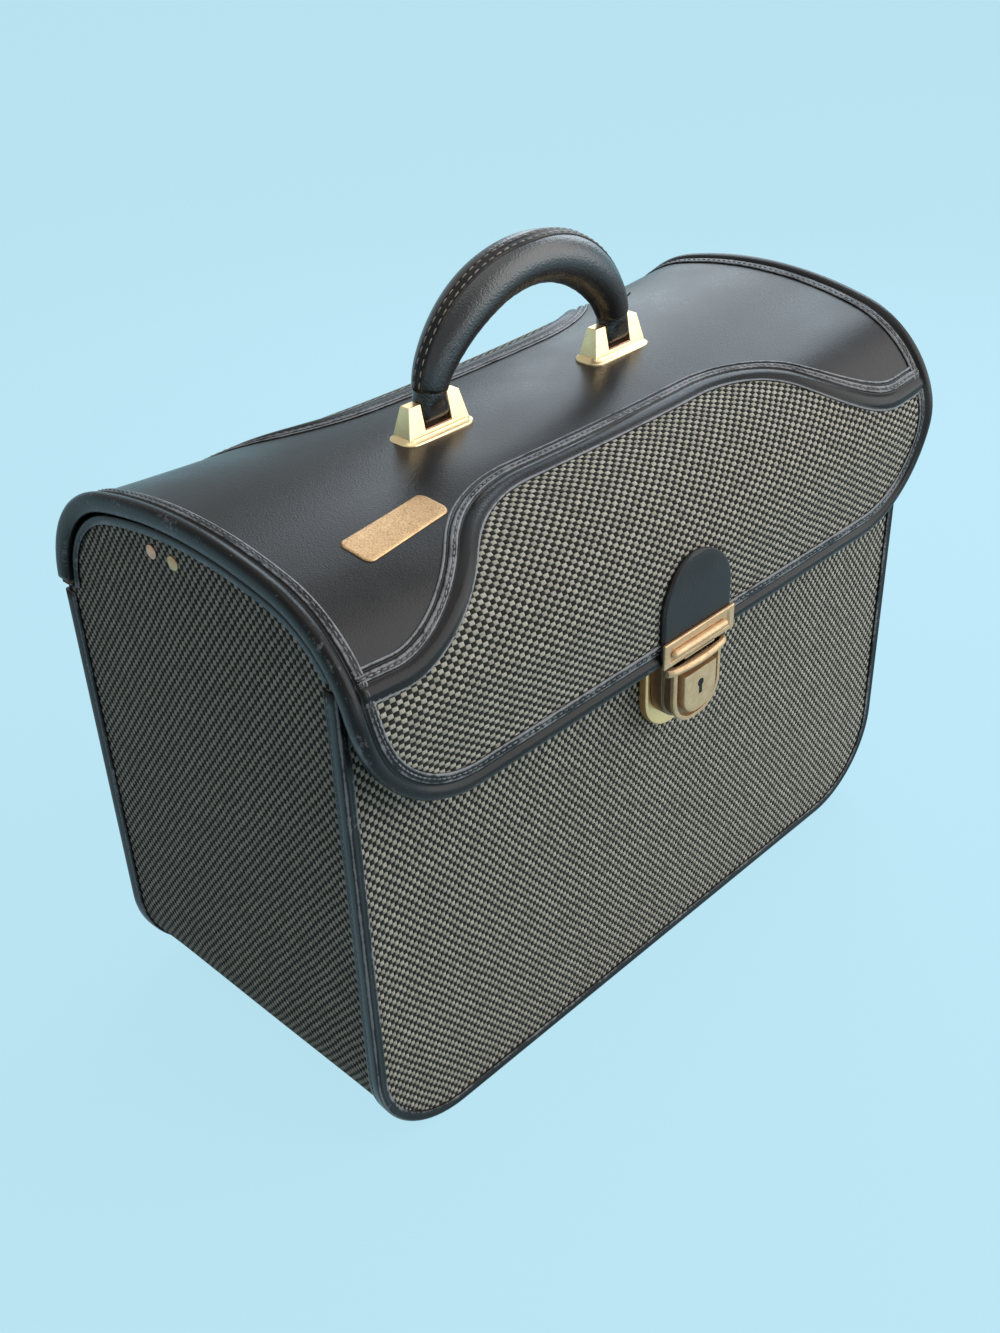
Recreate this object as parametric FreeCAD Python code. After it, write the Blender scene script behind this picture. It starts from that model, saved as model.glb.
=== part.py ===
import FreeCAD, Part
import math
import os

Vector = FreeCAD.Vector

# A tweed carrying case with a barrel-curved flap lid, a leather arch handle and a brass push lock.
# Lengths are in millimetres. X runs along the case, -Y is the front and +Z is up.
# Every piece is made about the middle of the body. At the end all pieces move together in Y, so that
# the origin lies on the surface under the middle of the whole case.

# Body
case_width = 400.0
case_depth = 194.0
lower_corner_radius = 51.0
rim_height = 240.0
front_rise = 12.0

# Layers of every panel, from the outside in
tweed_thickness = 1.2
board_thickness = 3.0
lining_thickness = 0.8
glue_gap = 0.2

# Bound edges of the body
binding_thickness = 1.5
binding_reach = 9.0
binding_round = 2.4
arch_binding_thickness = 1.2
arch_binding_reach = 4.2
arch_clearance = 1.5
top_binding_thickness = 1.0
top_binding_reach = 8.0

# Lid and flap
lid_overhang = 2.0
lid_rise = 56.0
lid_sag = 9.0
crown_radius = 240.0
shoulder_radius = 60.0
flap_stand_off = 14.0
flap_drop = 44.0
flap_corner_radius = 62.0
lid_binding_thickness = 1.2
lid_binding_reach = 8.0

# Hinge along the back edge
hinge_gap = 0.5
hinge_relief = 4.0
hinge_strip_reach = 18.0
hinge_strip_end_gap = 11.0

# S-shaped seams: straight in the middle, straight at the ends and a bend between
seam_middle_inset = 52.5
seam_end_inset = 6.5
seam_end_straight = 26.0
seam_bend_run = 118.0
seam_band_width = 9.0
seam_band_thickness = 1.2

# Nameplate on the left front of the top
nameplate_length = 54.0
nameplate_width = 16.0
nameplate_corner = 4.0
nameplate_thickness = 0.6
nameplate_from_end = 69.3
nameplate_from_seam = 44.2
nameplate_turn = 9.9

# Rivets high on each end
end_rivet_spacing = 15.0
end_rivet_back = 17.5
end_rivet_drop = 12.6
end_rivet_radius = 1.5
end_rivet_head_radius = 3.2
end_rivet_head_height = 1.2
end_rivet_washer_radius = 3.6
end_rivet_washer_height = 0.8

# Handle posts, pins and backing plates
post_spacing = 124.0
post_base_length = 36.0
post_base_width = 11.0
post_top_length = 29.0
post_top_width = 7.0
post_height = 16.0
post_flange_margin = 2.5
post_flange_thickness = 2.0
post_flange_round = 6.0
post_slot_width = 16.0
post_slot_floor = 4.0
post_rivet_spacing = 26.0
post_rivet_radius = 1.6
post_rivet_depth = 4.0
post_rivet_head_radius = 3.2
post_rivet_head_height = 1.2
post_plate_length = 40.0
post_plate_width = 14.0
post_plate_thickness = 1.2
pin_height = 10.5
pin_radius = 2.0
pin_fit = 0.05
rivet_fit = 0.05

# Handle
handle_rise = 51.0
handle_straight = 4.0
handle_shoulder = 30.0
grip_end_radius = 8.0
grip_middle_radius = 12.3
grip_start = 8.5
core_radius = 2.5
eye_radius = 5.5
eye_length = 15.0

# Hasp on the flap
tab_width = 50.0
tab_height = 50.0
tab_thickness = 2.8
hasp_width = 52.0
hasp_height = 13.0
hasp_thickness = 1.5
hasp_corner = 2.0
rib_length = 40.0
rib_height = 5.0
rib_depth = 2.2
rib_round = 1.6
hasp_clearance = 0.3
hasp_flange_thickness = 1.2
hasp_flange_width = 22.0
tongue_width = 14.0
tongue_thickness = 1.6
tongue_setback = 4.0
tongue_length = 8.5
hasp_rivet_spacing = 36.0
hasp_rivet_radius = 1.4
hasp_plate_width = 44.0
hasp_plate_height = 10.0

# Lock on the front panel
base_plate_width = 41.0
base_plate_height = 46.0
base_plate_thickness = 5.5
base_plate_corner = 19.0
base_plate_top = 1.0
slide_width = 36.0
slide_height = 36.0
slide_depth = 12.5
slide_wall = 1.2
slide_corner = 16.0
slide_below_flap = 2.6
slide_clearance = 0.3
slide_travel = 4.0
pad_width = 24.0
pad_height = 23.0
pad_depth = 3.0
pad_corner = 10.0
pad_round = 1.0
pad_drop = 3.0
lip_width = 43.0
lip_height = 4.6
lip_depth = 2.0
lip_bulge = 2.4
slot_side_room = 1.0
slot_back_room = 0.6
slot_front_room = 3.0
keyhole_drop = 15.5
keyhole_radius = 2.2
keyhole_slot_width = 2.1
keyhole_length = 6.0
guide_height = 8.0
guide_depth = 3.6
guide_room = 3.8
lock_rivet_spacing = 26.0
lock_rivet_radius = 1.3
lock_rivet_head_radius = 2.4
lock_rivet_head_height = 0.7
backing_plate_width = 42.0
backing_plate_height = 16.0
backing_plate_thickness = 1.0
spring_length = 30.0
spring_width = 2.6
spring_thickness = 0.4
cam_radius = 5.0
cam_thickness = 2.0
cam_gap = 0.15
cam_finger_length = 8.0
cam_finger_width = 3.0
hub_radius = 2.6
hub_length = 2.4
keeper_thickness = 1.2
keeper_height = 13.0
keeper_width = 32.0
boss_radius = 1.6
boss_spacing = 26.0

# One overrun for all cuts
overrun = 5.0

# Places that follow from the sizes
half_width = case_width / 2
half_depth = case_depth / 2
front_face = -half_depth + binding_thickness
back_face = half_depth - binding_thickness
skin_depth = tweed_thickness + glue_gap
board_depth = skin_depth + board_thickness + glue_gap
wall_depth = board_depth + lining_thickness
side_inset = binding_thickness + glue_gap
front_height = rim_height + front_rise
lid_peak = rim_height + lid_rise
flap_bottom = rim_height - flap_drop
lid_half = half_width + lid_overhang
lid_front = -half_depth - flap_stand_off
lid_back = back_face
lid_middle = (lid_front + lid_back) / 2
lid_reach = (lid_back - lid_front) / 2
seam_middle_reach = lid_reach - seam_middle_inset
seam_end_reach = lid_reach - seam_end_inset
seam_bend_end = lid_half - seam_end_straight
seam_bend_start = seam_bend_end - seam_bend_run
nameplate_from_middle = seam_end_reach - nameplate_from_seam
crown_centre = lid_peak - crown_radius
shoulder_shift = lid_reach - shoulder_radius
shoulder_centre = crown_centre + math.sqrt((crown_radius - shoulder_radius) ** 2 - shoulder_shift ** 2)
shoulder_turn = math.asin(shoulder_shift / (crown_radius - shoulder_radius))
sag_radius = lid_half ** 2 / (2 * lid_sag) + lid_sag / 2
sag_axis = Vector(0, 0, lid_peak + sag_radius)
sag_turn = math.degrees(math.asin((lid_half + overrun) / sag_radius))
binding_outside = lid_binding_thickness + glue_gap
lid_inside = wall_depth + glue_gap + lid_binding_thickness
arch_offset = lid_inside + arch_clearance
gusset_offset = arch_offset + arch_binding_thickness + glue_gap
high = lid_peak + lid_sag + overrun
far = case_depth
AXIS_X = Vector(1, 0, 0)
AXIS_Y = Vector(0, 1, 0)
AXIS_Z = Vector(0, 0, 1)
QUARTER_TURN = 90


def line(start, end):
    return Part.LineSegment(start, end).toShape()


def arc(start, middle, end):
    return Part.Arc(start, middle, end).toShape()


def face(edges):
    return Part.Face(Part.Wire(Part.__sortEdges__(edges)))


def polygon(points):
    return Part.Face(Part.makePolygon(points + [points[0]]))


def box(x_range, y_range, z_range):
    corner = Vector(x_range[0], y_range[0], z_range[0])
    sides = [pair[1] - pair[0] for pair in (x_range, y_range, z_range)]
    return Part.makeBox(sides[0], sides[1], sides[2], corner)


def rod(radius, start, end):
    along = end.sub(start)
    return Part.makeCylinder(radius, along.Length, start, along)


def on_circle(centre, radius, turn, first, second):
    """Point on a circle, turned from the first direction towards the second."""
    return centre + first * (radius * math.cos(turn)) + second * (radius * math.sin(turn))


def mirrored(shape):
    return shape.mirror(Vector(0, 0, 0), AXIS_X)


# Outlines and runs of the body

def panel_outline(inset, top):
    """Front view of the body inside its outer edge: straight sides and rounded lower corners."""
    side = half_width - inset
    radius = lower_corner_radius - inset
    straight = side - radius
    left = Vector(-straight, 0, lower_corner_radius)
    right = Vector(straight, 0, lower_corner_radius)
    eighth = math.pi / 4
    return face([
        line(Vector(-side, 0, top), Vector(-side, 0, lower_corner_radius)),
        arc(left - AXIS_X * radius, on_circle(left, radius, eighth, AXIS_X * -1, AXIS_Z * -1),
            left - AXIS_Z * radius),
        line(left - AXIS_Z * radius, right - AXIS_Z * radius),
        arc(right - AXIS_Z * radius, on_circle(right, radius, eighth, AXIS_X, AXIS_Z * -1),
            right + AXIS_X * radius),
        line(Vector(side, 0, lower_corner_radius), Vector(side, 0, top)),
        line(Vector(side, 0, top), Vector(-side, 0, top)),
    ])


def panel(inset, y_range, top):
    sheet = panel_outline(inset, top)
    sheet.translate(Vector(0, y_range[0], 0))
    return sheet.extrude(Vector(0, y_range[1] - y_range[0], 0))


def edge_run(profile, top):
    """A flat profile, level with the corner centres, carried down one end, under and up the other."""
    pivot = Vector(-half_width + lower_corner_radius, 0, lower_corner_radius)
    left = profile.extrude(Vector(0, 0, top - lower_corner_radius))
    corner = profile.revolve(pivot, AXIS_Y * -1, QUARTER_TURN)
    under = profile.copy()
    under.rotate(pivot, AXIS_Y * -1, QUARTER_TURN)
    bottom = under.extrude(Vector(case_width - 2 * lower_corner_radius, 0, 0))
    return left.fuse([corner, bottom, mirrored(corner), mirrored(left)]).removeSplitter()


def strip_profile(depth_range, y_range):
    """Section of a strip that lies between two depths below the outer edge of the body."""
    level = lower_corner_radius
    return polygon([
        Vector(-half_width + depth_range[0], y_range[0], level),
        Vector(-half_width + depth_range[1], y_range[0], level),
        Vector(-half_width + depth_range[1], y_range[1], level),
        Vector(-half_width + depth_range[0], y_range[1], level),
    ])


def binding_profile():
    """L-shaped section of the bound edge at the front left, rounded on the outside."""
    corner = Vector(-half_width, -half_depth, lower_corner_radius)
    centre = corner + (AXIS_X + AXIS_Y) * binding_round
    start = corner + AXIS_Y * binding_round
    end = corner + AXIS_X * binding_round
    middle = on_circle(centre, binding_round, math.pi / 4, AXIS_X * -1, AXIS_Y * -1)
    points = [
        end,
        corner + AXIS_X * binding_reach,
        corner + AXIS_X * binding_reach + AXIS_Y * binding_thickness,
        corner + (AXIS_X + AXIS_Y) * binding_thickness,
        corner + AXIS_X * binding_thickness + AXIS_Y * binding_reach,
        corner + AXIS_Y * binding_reach,
        start,
    ]
    edges = [line(first, second) for first, second in zip(points, points[1:])]
    return face(edges + [arc(start, middle, end)])


# Curved sheets of the lid

def lid_curve(offset, ends):
    """Edges of the lid seen from its end, from the back edge over the crown to the flap."""
    back = lid_back - offset
    front = lid_front + offset
    shoulder = shoulder_radius - offset
    half_turn = (math.pi / 2 - shoulder_turn) / 2
    centres = [Vector(0, lid_middle + side * shoulder_shift, shoulder_centre) for side in (1, -1)]
    points = [Vector(0, back, ends[0])]
    for centre, side in zip(centres, (1, -1)):
        outward = AXIS_Y * side
        rim = [on_circle(centre, shoulder, turn, outward, AXIS_Z)
               for turn in (0, half_turn, 2 * half_turn)]
        points += rim if side > 0 else rim[::-1]
    points.append(Vector(0, front, ends[1]))
    peak = Vector(0, lid_middle, lid_peak - offset)
    start, low, half, upper, upper_front, half_front, low_front, end = points
    return [line(start, low), arc(low, half, upper), arc(upper, peak, upper_front),
            arc(upper_front, half_front, low_front), line(low_front, end)]


def sagged(section):
    """A flat section at mid length swept to both ends along the slight sag of the lid."""
    section.rotate(sag_axis, AXIS_Y, -sag_turn)
    return section.revolve(sag_axis, AXIS_Y, 2 * sag_turn)


def lid_band(outer_offset, inner_offset):
    """The curved sheet of the lid between two depths below its outer face, before trimming."""
    ends = [rim_height - hinge_strip_reach - lid_sag - overrun, flap_bottom - lid_sag - overrun]
    outer = lid_curve(outer_offset, ends)
    inner = lid_curve(inner_offset, ends)
    back = [Vector(0, lid_back - offset, ends[0]) for offset in (outer_offset, inner_offset)]
    front = [Vector(0, lid_front + offset, ends[1]) for offset in (outer_offset, inner_offset)]
    closing = [line(back[0], back[1]), line(front[0], front[1])]
    return sagged(face(outer + inner + closing))


def under_lid(offset):
    """All the room below a depth under the lid's outer face."""
    floor = -lid_sag - overrun
    ends = [floor, floor]
    base = line(Vector(0, lid_back - offset, floor), Vector(0, lid_front + offset, floor))
    return sagged(face(lid_curve(offset, ends) + [base]))


def lid_trim(inset, back_bottom):
    """The lid's outline inside its edge: rounded flap corners in front and a straight back edge."""
    side = lid_half - inset
    radius = flap_corner_radius - inset
    bottom = flap_bottom + inset
    level = flap_bottom + flap_corner_radius
    straight = side - radius
    left = Vector(-straight, -far, level)
    right = Vector(straight, -far, level)
    eighth = math.pi / 4
    outline = face([
        line(Vector(-side, -far, high), Vector(-side, -far, level)),
        arc(left - AXIS_X * radius, on_circle(left, radius, eighth, AXIS_X * -1, AXIS_Z * -1),
            left - AXIS_Z * radius),
        line(Vector(-straight, -far, bottom), Vector(straight, -far, bottom)),
        arc(right - AXIS_Z * radius, on_circle(right, radius, eighth, AXIS_X, AXIS_Z * -1),
            right + AXIS_X * radius),
        line(Vector(side, -far, level), Vector(side, -far, high)),
        line(Vector(side, -far, high), Vector(-side, -far, high)),
    ])
    front = outline.extrude(Vector(0, far + lid_middle, 0))
    back = box((-side, side), (lid_middle, far), (back_bottom, high))
    return front.fuse(back)


def lid_sheet(outer_offset, inner_offset, inset, back_bottom):
    return lid_band(outer_offset, inner_offset).common(lid_trim(inset, back_bottom))


def seam_edges(side, shift):
    """One S-shaped seam in plan, from end to end, on the front (-1) or back (1) of the lid."""
    run = seam_bend_end - seam_bend_start
    drop = seam_end_reach - seam_middle_reach
    radius = (run ** 2 + drop ** 2) / (4 * drop)
    turn = math.asin(run / 2 / radius)
    outward = AXIS_Y * side
    origin = Vector(0, lid_middle, 0)
    inner_radius = radius + shift
    outer_radius = radius - shift
    edges = []
    ends = []
    for way in (-1, 1):
        along = AXIS_X * way
        first = origin + along * seam_bend_start + outward * (seam_middle_reach + radius)
        second = origin + along * seam_bend_end + outward * (seam_end_reach - radius)
        start, bend, meet = [on_circle(first, inner_radius, part, outward * -1, along)
                             for part in (0, turn / 2, turn)]
        finish, back_bend, joint = [on_circle(second, outer_radius, part, outward, along * -1)
                                    for part in (0, turn / 2, turn)]
        tip = origin + along * (lid_half + overrun) + outward * (seam_end_reach - shift)
        edges += [arc(start, bend, meet), arc(joint, back_bend, finish), line(finish, tip)]
        ends.append((start, tip))
    edges.append(line(ends[0][0], ends[1][0]))
    return edges, [ends[0][1], ends[1][1]]


def plan_prism(edges):
    """A closed outline in plan, raised through the whole lid."""
    return face(edges).extrude(Vector(0, 0, high))


def between_seams(gap):
    front, front_tips = seam_edges(-1, gap)
    back, back_tips = seam_edges(1, gap)
    closing = [line(one, other) for one, other in zip(front_tips, back_tips)]
    return plan_prism(front + back + closing)


def beyond_seam(side, gap):
    edges, tips = seam_edges(side, -gap)
    outer = [Vector(tip.x, side * far, 0) for tip in tips]
    closing = [line(tips[0], outer[0]), line(outer[0], outer[1]), line(outer[1], tips[1])]
    return plan_prism(edges + closing)


def along_seam(side):
    inner, inner_tips = seam_edges(side, seam_band_width / 2)
    outer, outer_tips = seam_edges(side, -seam_band_width / 2)
    closing = [line(one, other) for one, other in zip(inner_tips, outer_tips)]
    return plan_prism(inner + outer + closing)


# Places of fasteners

post_places = [Vector(way * post_spacing / 2, lid_middle, 0) for way in (-1, 1)]
post_seat = lid_peak + (sag_radius - math.sqrt(sag_radius ** 2 - (post_spacing / 2) ** 2))
pin_level = post_seat + pin_height
slide_top = flap_bottom - slide_below_flap
plate_top = flap_bottom - base_plate_top
slide_back = front_face - base_plate_thickness - slide_clearance
slide_front = slide_back - slide_depth
slide_inner = slide_front + slide_wall
guide_top = slide_top - slide_wall - slide_travel - guide_room
guide_back = front_face - base_plate_thickness - glue_gap
guide_front = guide_back - guide_depth
lock_rivet_level = guide_top - guide_height / 2
keyhole_level = slide_top - keyhole_drop
cam_front = slide_inner + cam_gap
cam_back = cam_front + cam_thickness
keeper_front = cam_back + cam_gap
keeper_back = keeper_front + keeper_thickness
tab_front = lid_front - tab_thickness
hasp_back = tab_front - glue_gap
hasp_front = hasp_back - hasp_thickness
hasp_rivet_level = flap_bottom + hasp_height / 2
tongue_front = lid_front + tongue_setback
tongue_back = tongue_front + tongue_thickness
flange_top = flap_bottom - hasp_clearance
flange_bottom = flange_top - hasp_flange_thickness
lining_inner = -half_depth + binding_thickness + wall_depth
lip_ends = slide_front - lip_depth
front_reach = max(rib_depth - hasp_front, lip_bulge - lip_ends)
origin_shift = (front_reach - half_depth) / 2


def lock_rivet_holes(fit):
    holes = []
    for way in (-1, 1):
        start = Vector(way * lock_rivet_spacing / 2, slide_front, lock_rivet_level)
        end = Vector(way * lock_rivet_spacing / 2, lining_inner + overrun, lock_rivet_level)
        holes.append(rod(lock_rivet_radius + fit, start, end))
    return holes


def hasp_rivet_holes(fit):
    holes = []
    for way in (-1, 1):
        start = Vector(way * hasp_rivet_spacing / 2, hasp_front, hasp_rivet_level)
        end = Vector(way * hasp_rivet_spacing / 2, lid_front + wall_depth, hasp_rivet_level)
        holes.append(rod(hasp_rivet_radius + fit, start, end))
    return holes


def post_rivet_shanks(fit, bottom):
    shanks = []
    for place in post_places:
        for way in (-1, 1):
            foot = place + AXIS_X * (way * post_rivet_spacing / 2) + AXIS_Z * bottom
            top = Vector(foot.x, foot.y, post_seat + post_rivet_depth)
            shanks.append(rod(post_rivet_radius + fit, foot, top))
    return shanks


def end_rivet_places():
    level = lid_peak + lid_sag - gusset_offset - end_rivet_drop
    middle = lid_middle + end_rivet_back
    return [Vector(0, middle + way * end_rivet_spacing / 2, level) for way in (-1, 1)]


def end_rivet_holes(fit):
    holes = []
    for place in end_rivet_places():
        reach = AXIS_X * (half_width + overrun)
        holes.append(rod(end_rivet_radius + fit, place - reach, place + reach))
    return holes


# Body pieces

def body_region():
    """Room for the body's walls: under the lid, with the back part kept below the hinge line."""
    walls = (-half_width - overrun, half_width + overrun)
    low = box(walls, (-far, far), (-overrun, rim_height - hinge_gap))
    return under_lid(gusset_offset).fuse(low)


def front_panels():
    outer = front_face
    tweed = panel(side_inset, (outer, outer + tweed_thickness), front_height)
    board = panel(side_inset + skin_depth, (outer + skin_depth, outer + skin_depth + board_thickness),
                  front_height)
    holes = lock_rivet_holes(rivet_fit)
    return tweed.cut(holes), board.cut(holes)


def back_panels():
    outer = back_face
    top = rim_height - hinge_gap
    tweed = panel(side_inset, (outer - tweed_thickness, outer), top)
    board = panel(side_inset + skin_depth, (outer - skin_depth - board_thickness, outer - skin_depth), top)
    return tweed, board


def gusset_pieces(region):
    tweed_end = half_depth - side_inset - tweed_thickness
    board_end = half_depth - binding_thickness - board_depth
    tweed_range = (side_inset, side_inset + tweed_thickness)
    board_range = (tweed_range[1] + glue_gap, tweed_range[1] + glue_gap + board_thickness)
    holes = end_rivet_holes(rivet_fit)
    tweed = edge_run(strip_profile(tweed_range, (-tweed_end, tweed_end)), high)
    tweed = tweed.common(region).cut(holes)
    board = edge_run(strip_profile(board_range, (-board_end, board_end)), high)
    board = board.common(region).cut(holes)
    wide = half_width + overrun
    upper = (lower_corner_radius + glue_gap, high)
    left = board.common(box((-wide, 0), (-far, far), upper))
    right = board.common(box((0, wide), (-far, far), upper))
    bottom = board.common(box((-wide, wide), (-far, far), (-overrun, lower_corner_radius)))
    return tweed, left, right, bottom


def body_lining(region):
    inset = binding_thickness + board_depth
    outer = half_depth - inset
    shell = panel(inset, (-outer, outer), high)
    hollow = panel(inset + lining_thickness, (-outer + lining_thickness, outer - lining_thickness),
                   high + overrun)
    walls = (-half_width, half_width)
    above_front = box(walls, (-outer - overrun, -outer + lining_thickness), (front_height, high + overrun))
    strip_bottom = rim_height - hinge_strip_reach - glue_gap
    above_back = box(walls, (outer - lining_thickness, outer + overrun), (strip_bottom, high + overrun))
    lining = shell.cut(hollow).common(region).cut([above_front, above_back])
    return lining.cut(lock_rivet_holes(rivet_fit) + end_rivet_holes(rivet_fit))


def body_bindings():
    profile = binding_profile()
    front = edge_run(profile, front_height)
    back = edge_run(profile, rim_height - hinge_relief).mirror(Vector(0, 0, 0), AXIS_Y)
    return front, back


def arch_binding():
    """Folded strip over the arched top of the left end."""
    outer = -half_width + side_inset - glue_gap - arch_binding_thickness
    wall = (-half_width + side_inset - glue_gap, -half_width + binding_thickness + wall_depth + glue_gap)
    inner = wall[1] + arch_binding_thickness
    ring = under_lid(arch_offset).cut(under_lid(arch_offset + arch_binding_reach))
    groove = under_lid(gusset_offset - glue_gap).common(box(wall, (-far, far), (-overrun, high)))
    edge = half_depth - binding_thickness - skin_depth
    front = box((outer, inner), (-edge, 0), (front_height + glue_gap, high))
    back = box((outer, inner), (0, edge), (rim_height + glue_gap, high))
    return ring.cut(groove).common(front.fuse(back)).removeSplitter()


def front_top_binding():
    """Folded strip over the top edge of the front panel, between the bound side edges."""
    reach = half_width - binding_reach - glue_gap
    outer = front_face - glue_gap - top_binding_thickness
    inner = lining_inner + glue_gap + top_binding_thickness
    top = front_height + glue_gap + top_binding_thickness
    fold = box((-reach, reach), (outer, inner), (front_height - top_binding_reach, top))
    groove = box((-reach - overrun, reach + overrun), (front_face - glue_gap, lining_inner + glue_gap),
                 (front_height - top_binding_reach - overrun, front_height + glue_gap))
    return fold.cut(groove)


def hinge_strip():
    """Flexible strip inside the back edge that joins the back board to the lid."""
    reach = half_width - hinge_strip_end_gap
    room = box((-reach, reach), (0, far), (rim_height - hinge_strip_reach, rim_height + hinge_strip_reach))
    return lid_band(board_depth, wall_depth).common(room)


def end_rivets():
    """Two domed rivets through the left end, each with its washer inside."""
    outer = -half_width + side_inset - glue_gap
    inner = -half_width + binding_thickness + wall_depth + glue_gap
    rivets = []
    for place in end_rivet_places():
        head_start = Vector(outer, place.y, place.z)
        square_sum = end_rivet_head_radius ** 2 + end_rivet_head_height ** 2
        ball_radius = square_sum / (2 * end_rivet_head_height)
        ball_centre = head_start + AXIS_X * (ball_radius - end_rivet_head_height)
        half_space = box((outer - overrun, outer), (place.y - overrun, place.y + overrun),
                         (place.z - overrun, place.z + overrun))
        head = Part.makeSphere(ball_radius, ball_centre).common(half_space)
        shank = rod(end_rivet_radius, head_start, Vector(inner, place.y, place.z))
        washer_end = Vector(inner + end_rivet_washer_height, place.y, place.z)
        washer = rod(end_rivet_washer_radius, Vector(inner, place.y, place.z), washer_end)
        rivets.append(head.fuse([shank, washer]).removeSplitter())
    return Part.makeCompound(rivets)


# Lock on the front panel

def shield(width, height, corner, top, y_range):
    """Plate with a straight top and rounded lower corners, seen from the front."""
    side = width / 2
    bottom = top - height
    level = bottom + corner
    straight = side - corner
    start = y_range[0]
    left = Vector(-straight, start, level)
    right = Vector(straight, start, level)
    eighth = math.pi / 4
    outline = face([
        line(Vector(-side, start, top), Vector(-side, start, level)),
        arc(left - AXIS_X * corner, on_circle(left, corner, eighth, AXIS_X * -1, AXIS_Z * -1),
            left - AXIS_Z * corner),
        line(left - AXIS_Z * corner, right - AXIS_Z * corner),
        arc(right - AXIS_Z * corner, on_circle(right, corner, eighth, AXIS_X, AXIS_Z * -1),
            right + AXIS_X * corner),
        line(Vector(side, start, level), Vector(side, start, top)),
        line(Vector(side, start, top), Vector(-side, start, top)),
    ])
    return outline.extrude(Vector(0, y_range[1] - start, 0))


def keyhole(y_range):
    """Round hole with a slot below it."""
    slot_bottom = keyhole_level - keyhole_length
    half_slot = keyhole_slot_width / 2
    hole = rod(keyhole_radius, Vector(0, y_range[0], keyhole_level), Vector(0, y_range[1], keyhole_level))
    return hole.fuse(box((-half_slot, half_slot), y_range, (slot_bottom, keyhole_level)))


def lock_base_plate():
    plate = shield(base_plate_width, base_plate_height, base_plate_corner, plate_top,
                   (front_face - base_plate_thickness, front_face - glue_gap))
    return plate.cut(lock_rivet_holes(rivet_fit))


def lock_guide():
    side = slide_width / 2 - slide_wall - slide_clearance
    block = box((-side, side), (guide_front, guide_back), (guide_top - guide_height, guide_top))
    return block.cut(lock_rivet_holes(rivet_fit))


def lock_backing_plate():
    side = backing_plate_width / 2
    start = lining_inner + glue_gap
    rise = backing_plate_height / 2
    plate = box((-side, side), (start, start + backing_plate_thickness),
                (lock_rivet_level - rise, lock_rivet_level + rise))
    return plate.cut(lock_rivet_holes(rivet_fit))


def lock_rivets():
    rivets = []
    inside = lining_inner + glue_gap + backing_plate_thickness
    for way in (-1, 1):
        centre = Vector(way * lock_rivet_spacing / 2, 0, lock_rivet_level)
        seats = [centre + AXIS_Y * (guide_front - glue_gap), centre + AXIS_Y * (inside + glue_gap)]
        pieces = [rod(lock_rivet_radius, seats[0], seats[1])]
        for seat, outward in zip(seats, (-1, 1)):
            head_end = seat + AXIS_Y * (outward * lock_rivet_head_height)
            pieces.append(rod(lock_rivet_head_radius, seat, head_end))
        rivets.append(pieces[0].fuse(pieces[1:]).removeSplitter())
    return Part.makeCompound(rivets)


def lock_spring():
    """Bowed leaf between the guide and the top wall of the slide."""
    low = guide_top + glue_gap
    crown = slide_top - slide_wall - glue_gap
    side = spring_length / 2
    back = guide_back - glue_gap
    edges = []
    for shift in (0, -spring_thickness):
        edges.append(arc(Vector(-side - shift, back, low), Vector(0, back, crown + shift),
                         Vector(side + shift, back, low)))
    edges += [line(Vector(way * side, back, low), Vector(way * (side - spring_thickness), back, low))
              for way in (-1, 1)]
    return face(edges).extrude(Vector(0, -spring_width, 0))


def lock_slide():
    """Hollow sliding case with its raised front, thumb lip, keyhole and slot for the hasp tongue."""
    case = shield(slide_width, slide_height, slide_corner, slide_top, (slide_front, slide_back))
    hollow = shield(slide_width - 2 * slide_wall, slide_height - 2 * slide_wall, slide_corner - slide_wall,
                    slide_top - slide_wall, (slide_inner, slide_back + overrun))
    lip_bottom = slide_top - lip_height
    pad_top = lip_bottom - pad_drop
    pad = shield(pad_width, pad_height, pad_corner, pad_top, (slide_front - pad_depth, slide_front))
    rounded = [edge for edge in pad.Edges
               if abs(edge.BoundBox.YMax - slide_front + pad_depth) < glue_gap]
    pad = pad.makeFillet(pad_round, rounded)
    side = lip_width / 2
    roots = [Vector(way * side, slide_front, lip_bottom) for way in (-1, 1)]
    tips = [Vector(way * side, lip_ends, lip_bottom) for way in (-1, 1)]
    bulge = Vector(0, lip_ends - lip_bulge, lip_bottom)
    lip = face([line(roots[0], tips[0]), arc(tips[0], bulge, tips[1]), line(tips[1], roots[1]),
                line(roots[1], roots[0])]).extrude(Vector(0, 0, lip_height))
    slot_side = tongue_width / 2 + slot_side_room
    slot = box((-slot_side, slot_side), (tongue_front - slot_front_room, tongue_back + slot_back_room),
               (slide_top - slide_wall - overrun, slide_top + overrun))
    bosses = []
    for way in (-1, 1):
        root = Vector(way * boss_spacing / 2, slide_inner, keyhole_level)
        bosses.append(rod(boss_radius, root, Vector(root.x, keeper_front - glue_gap, keyhole_level)))
    body = case.cut(hollow).fuse([pad, lip] + bosses).removeSplitter()
    return body.cut([slot, keyhole((slide_front - pad_depth - overrun, slide_inner + cam_gap / 2))])


def lock_keeper():
    side = keeper_width / 2
    rise = keeper_height / 2
    plate = box((-side, side), (keeper_front, keeper_back), (keyhole_level - rise, keyhole_level + rise))
    return plate.cut(rod(hub_radius + pin_fit, Vector(0, keeper_front - overrun, keyhole_level),
                         Vector(0, keeper_back + overrun, keyhole_level)))


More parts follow.
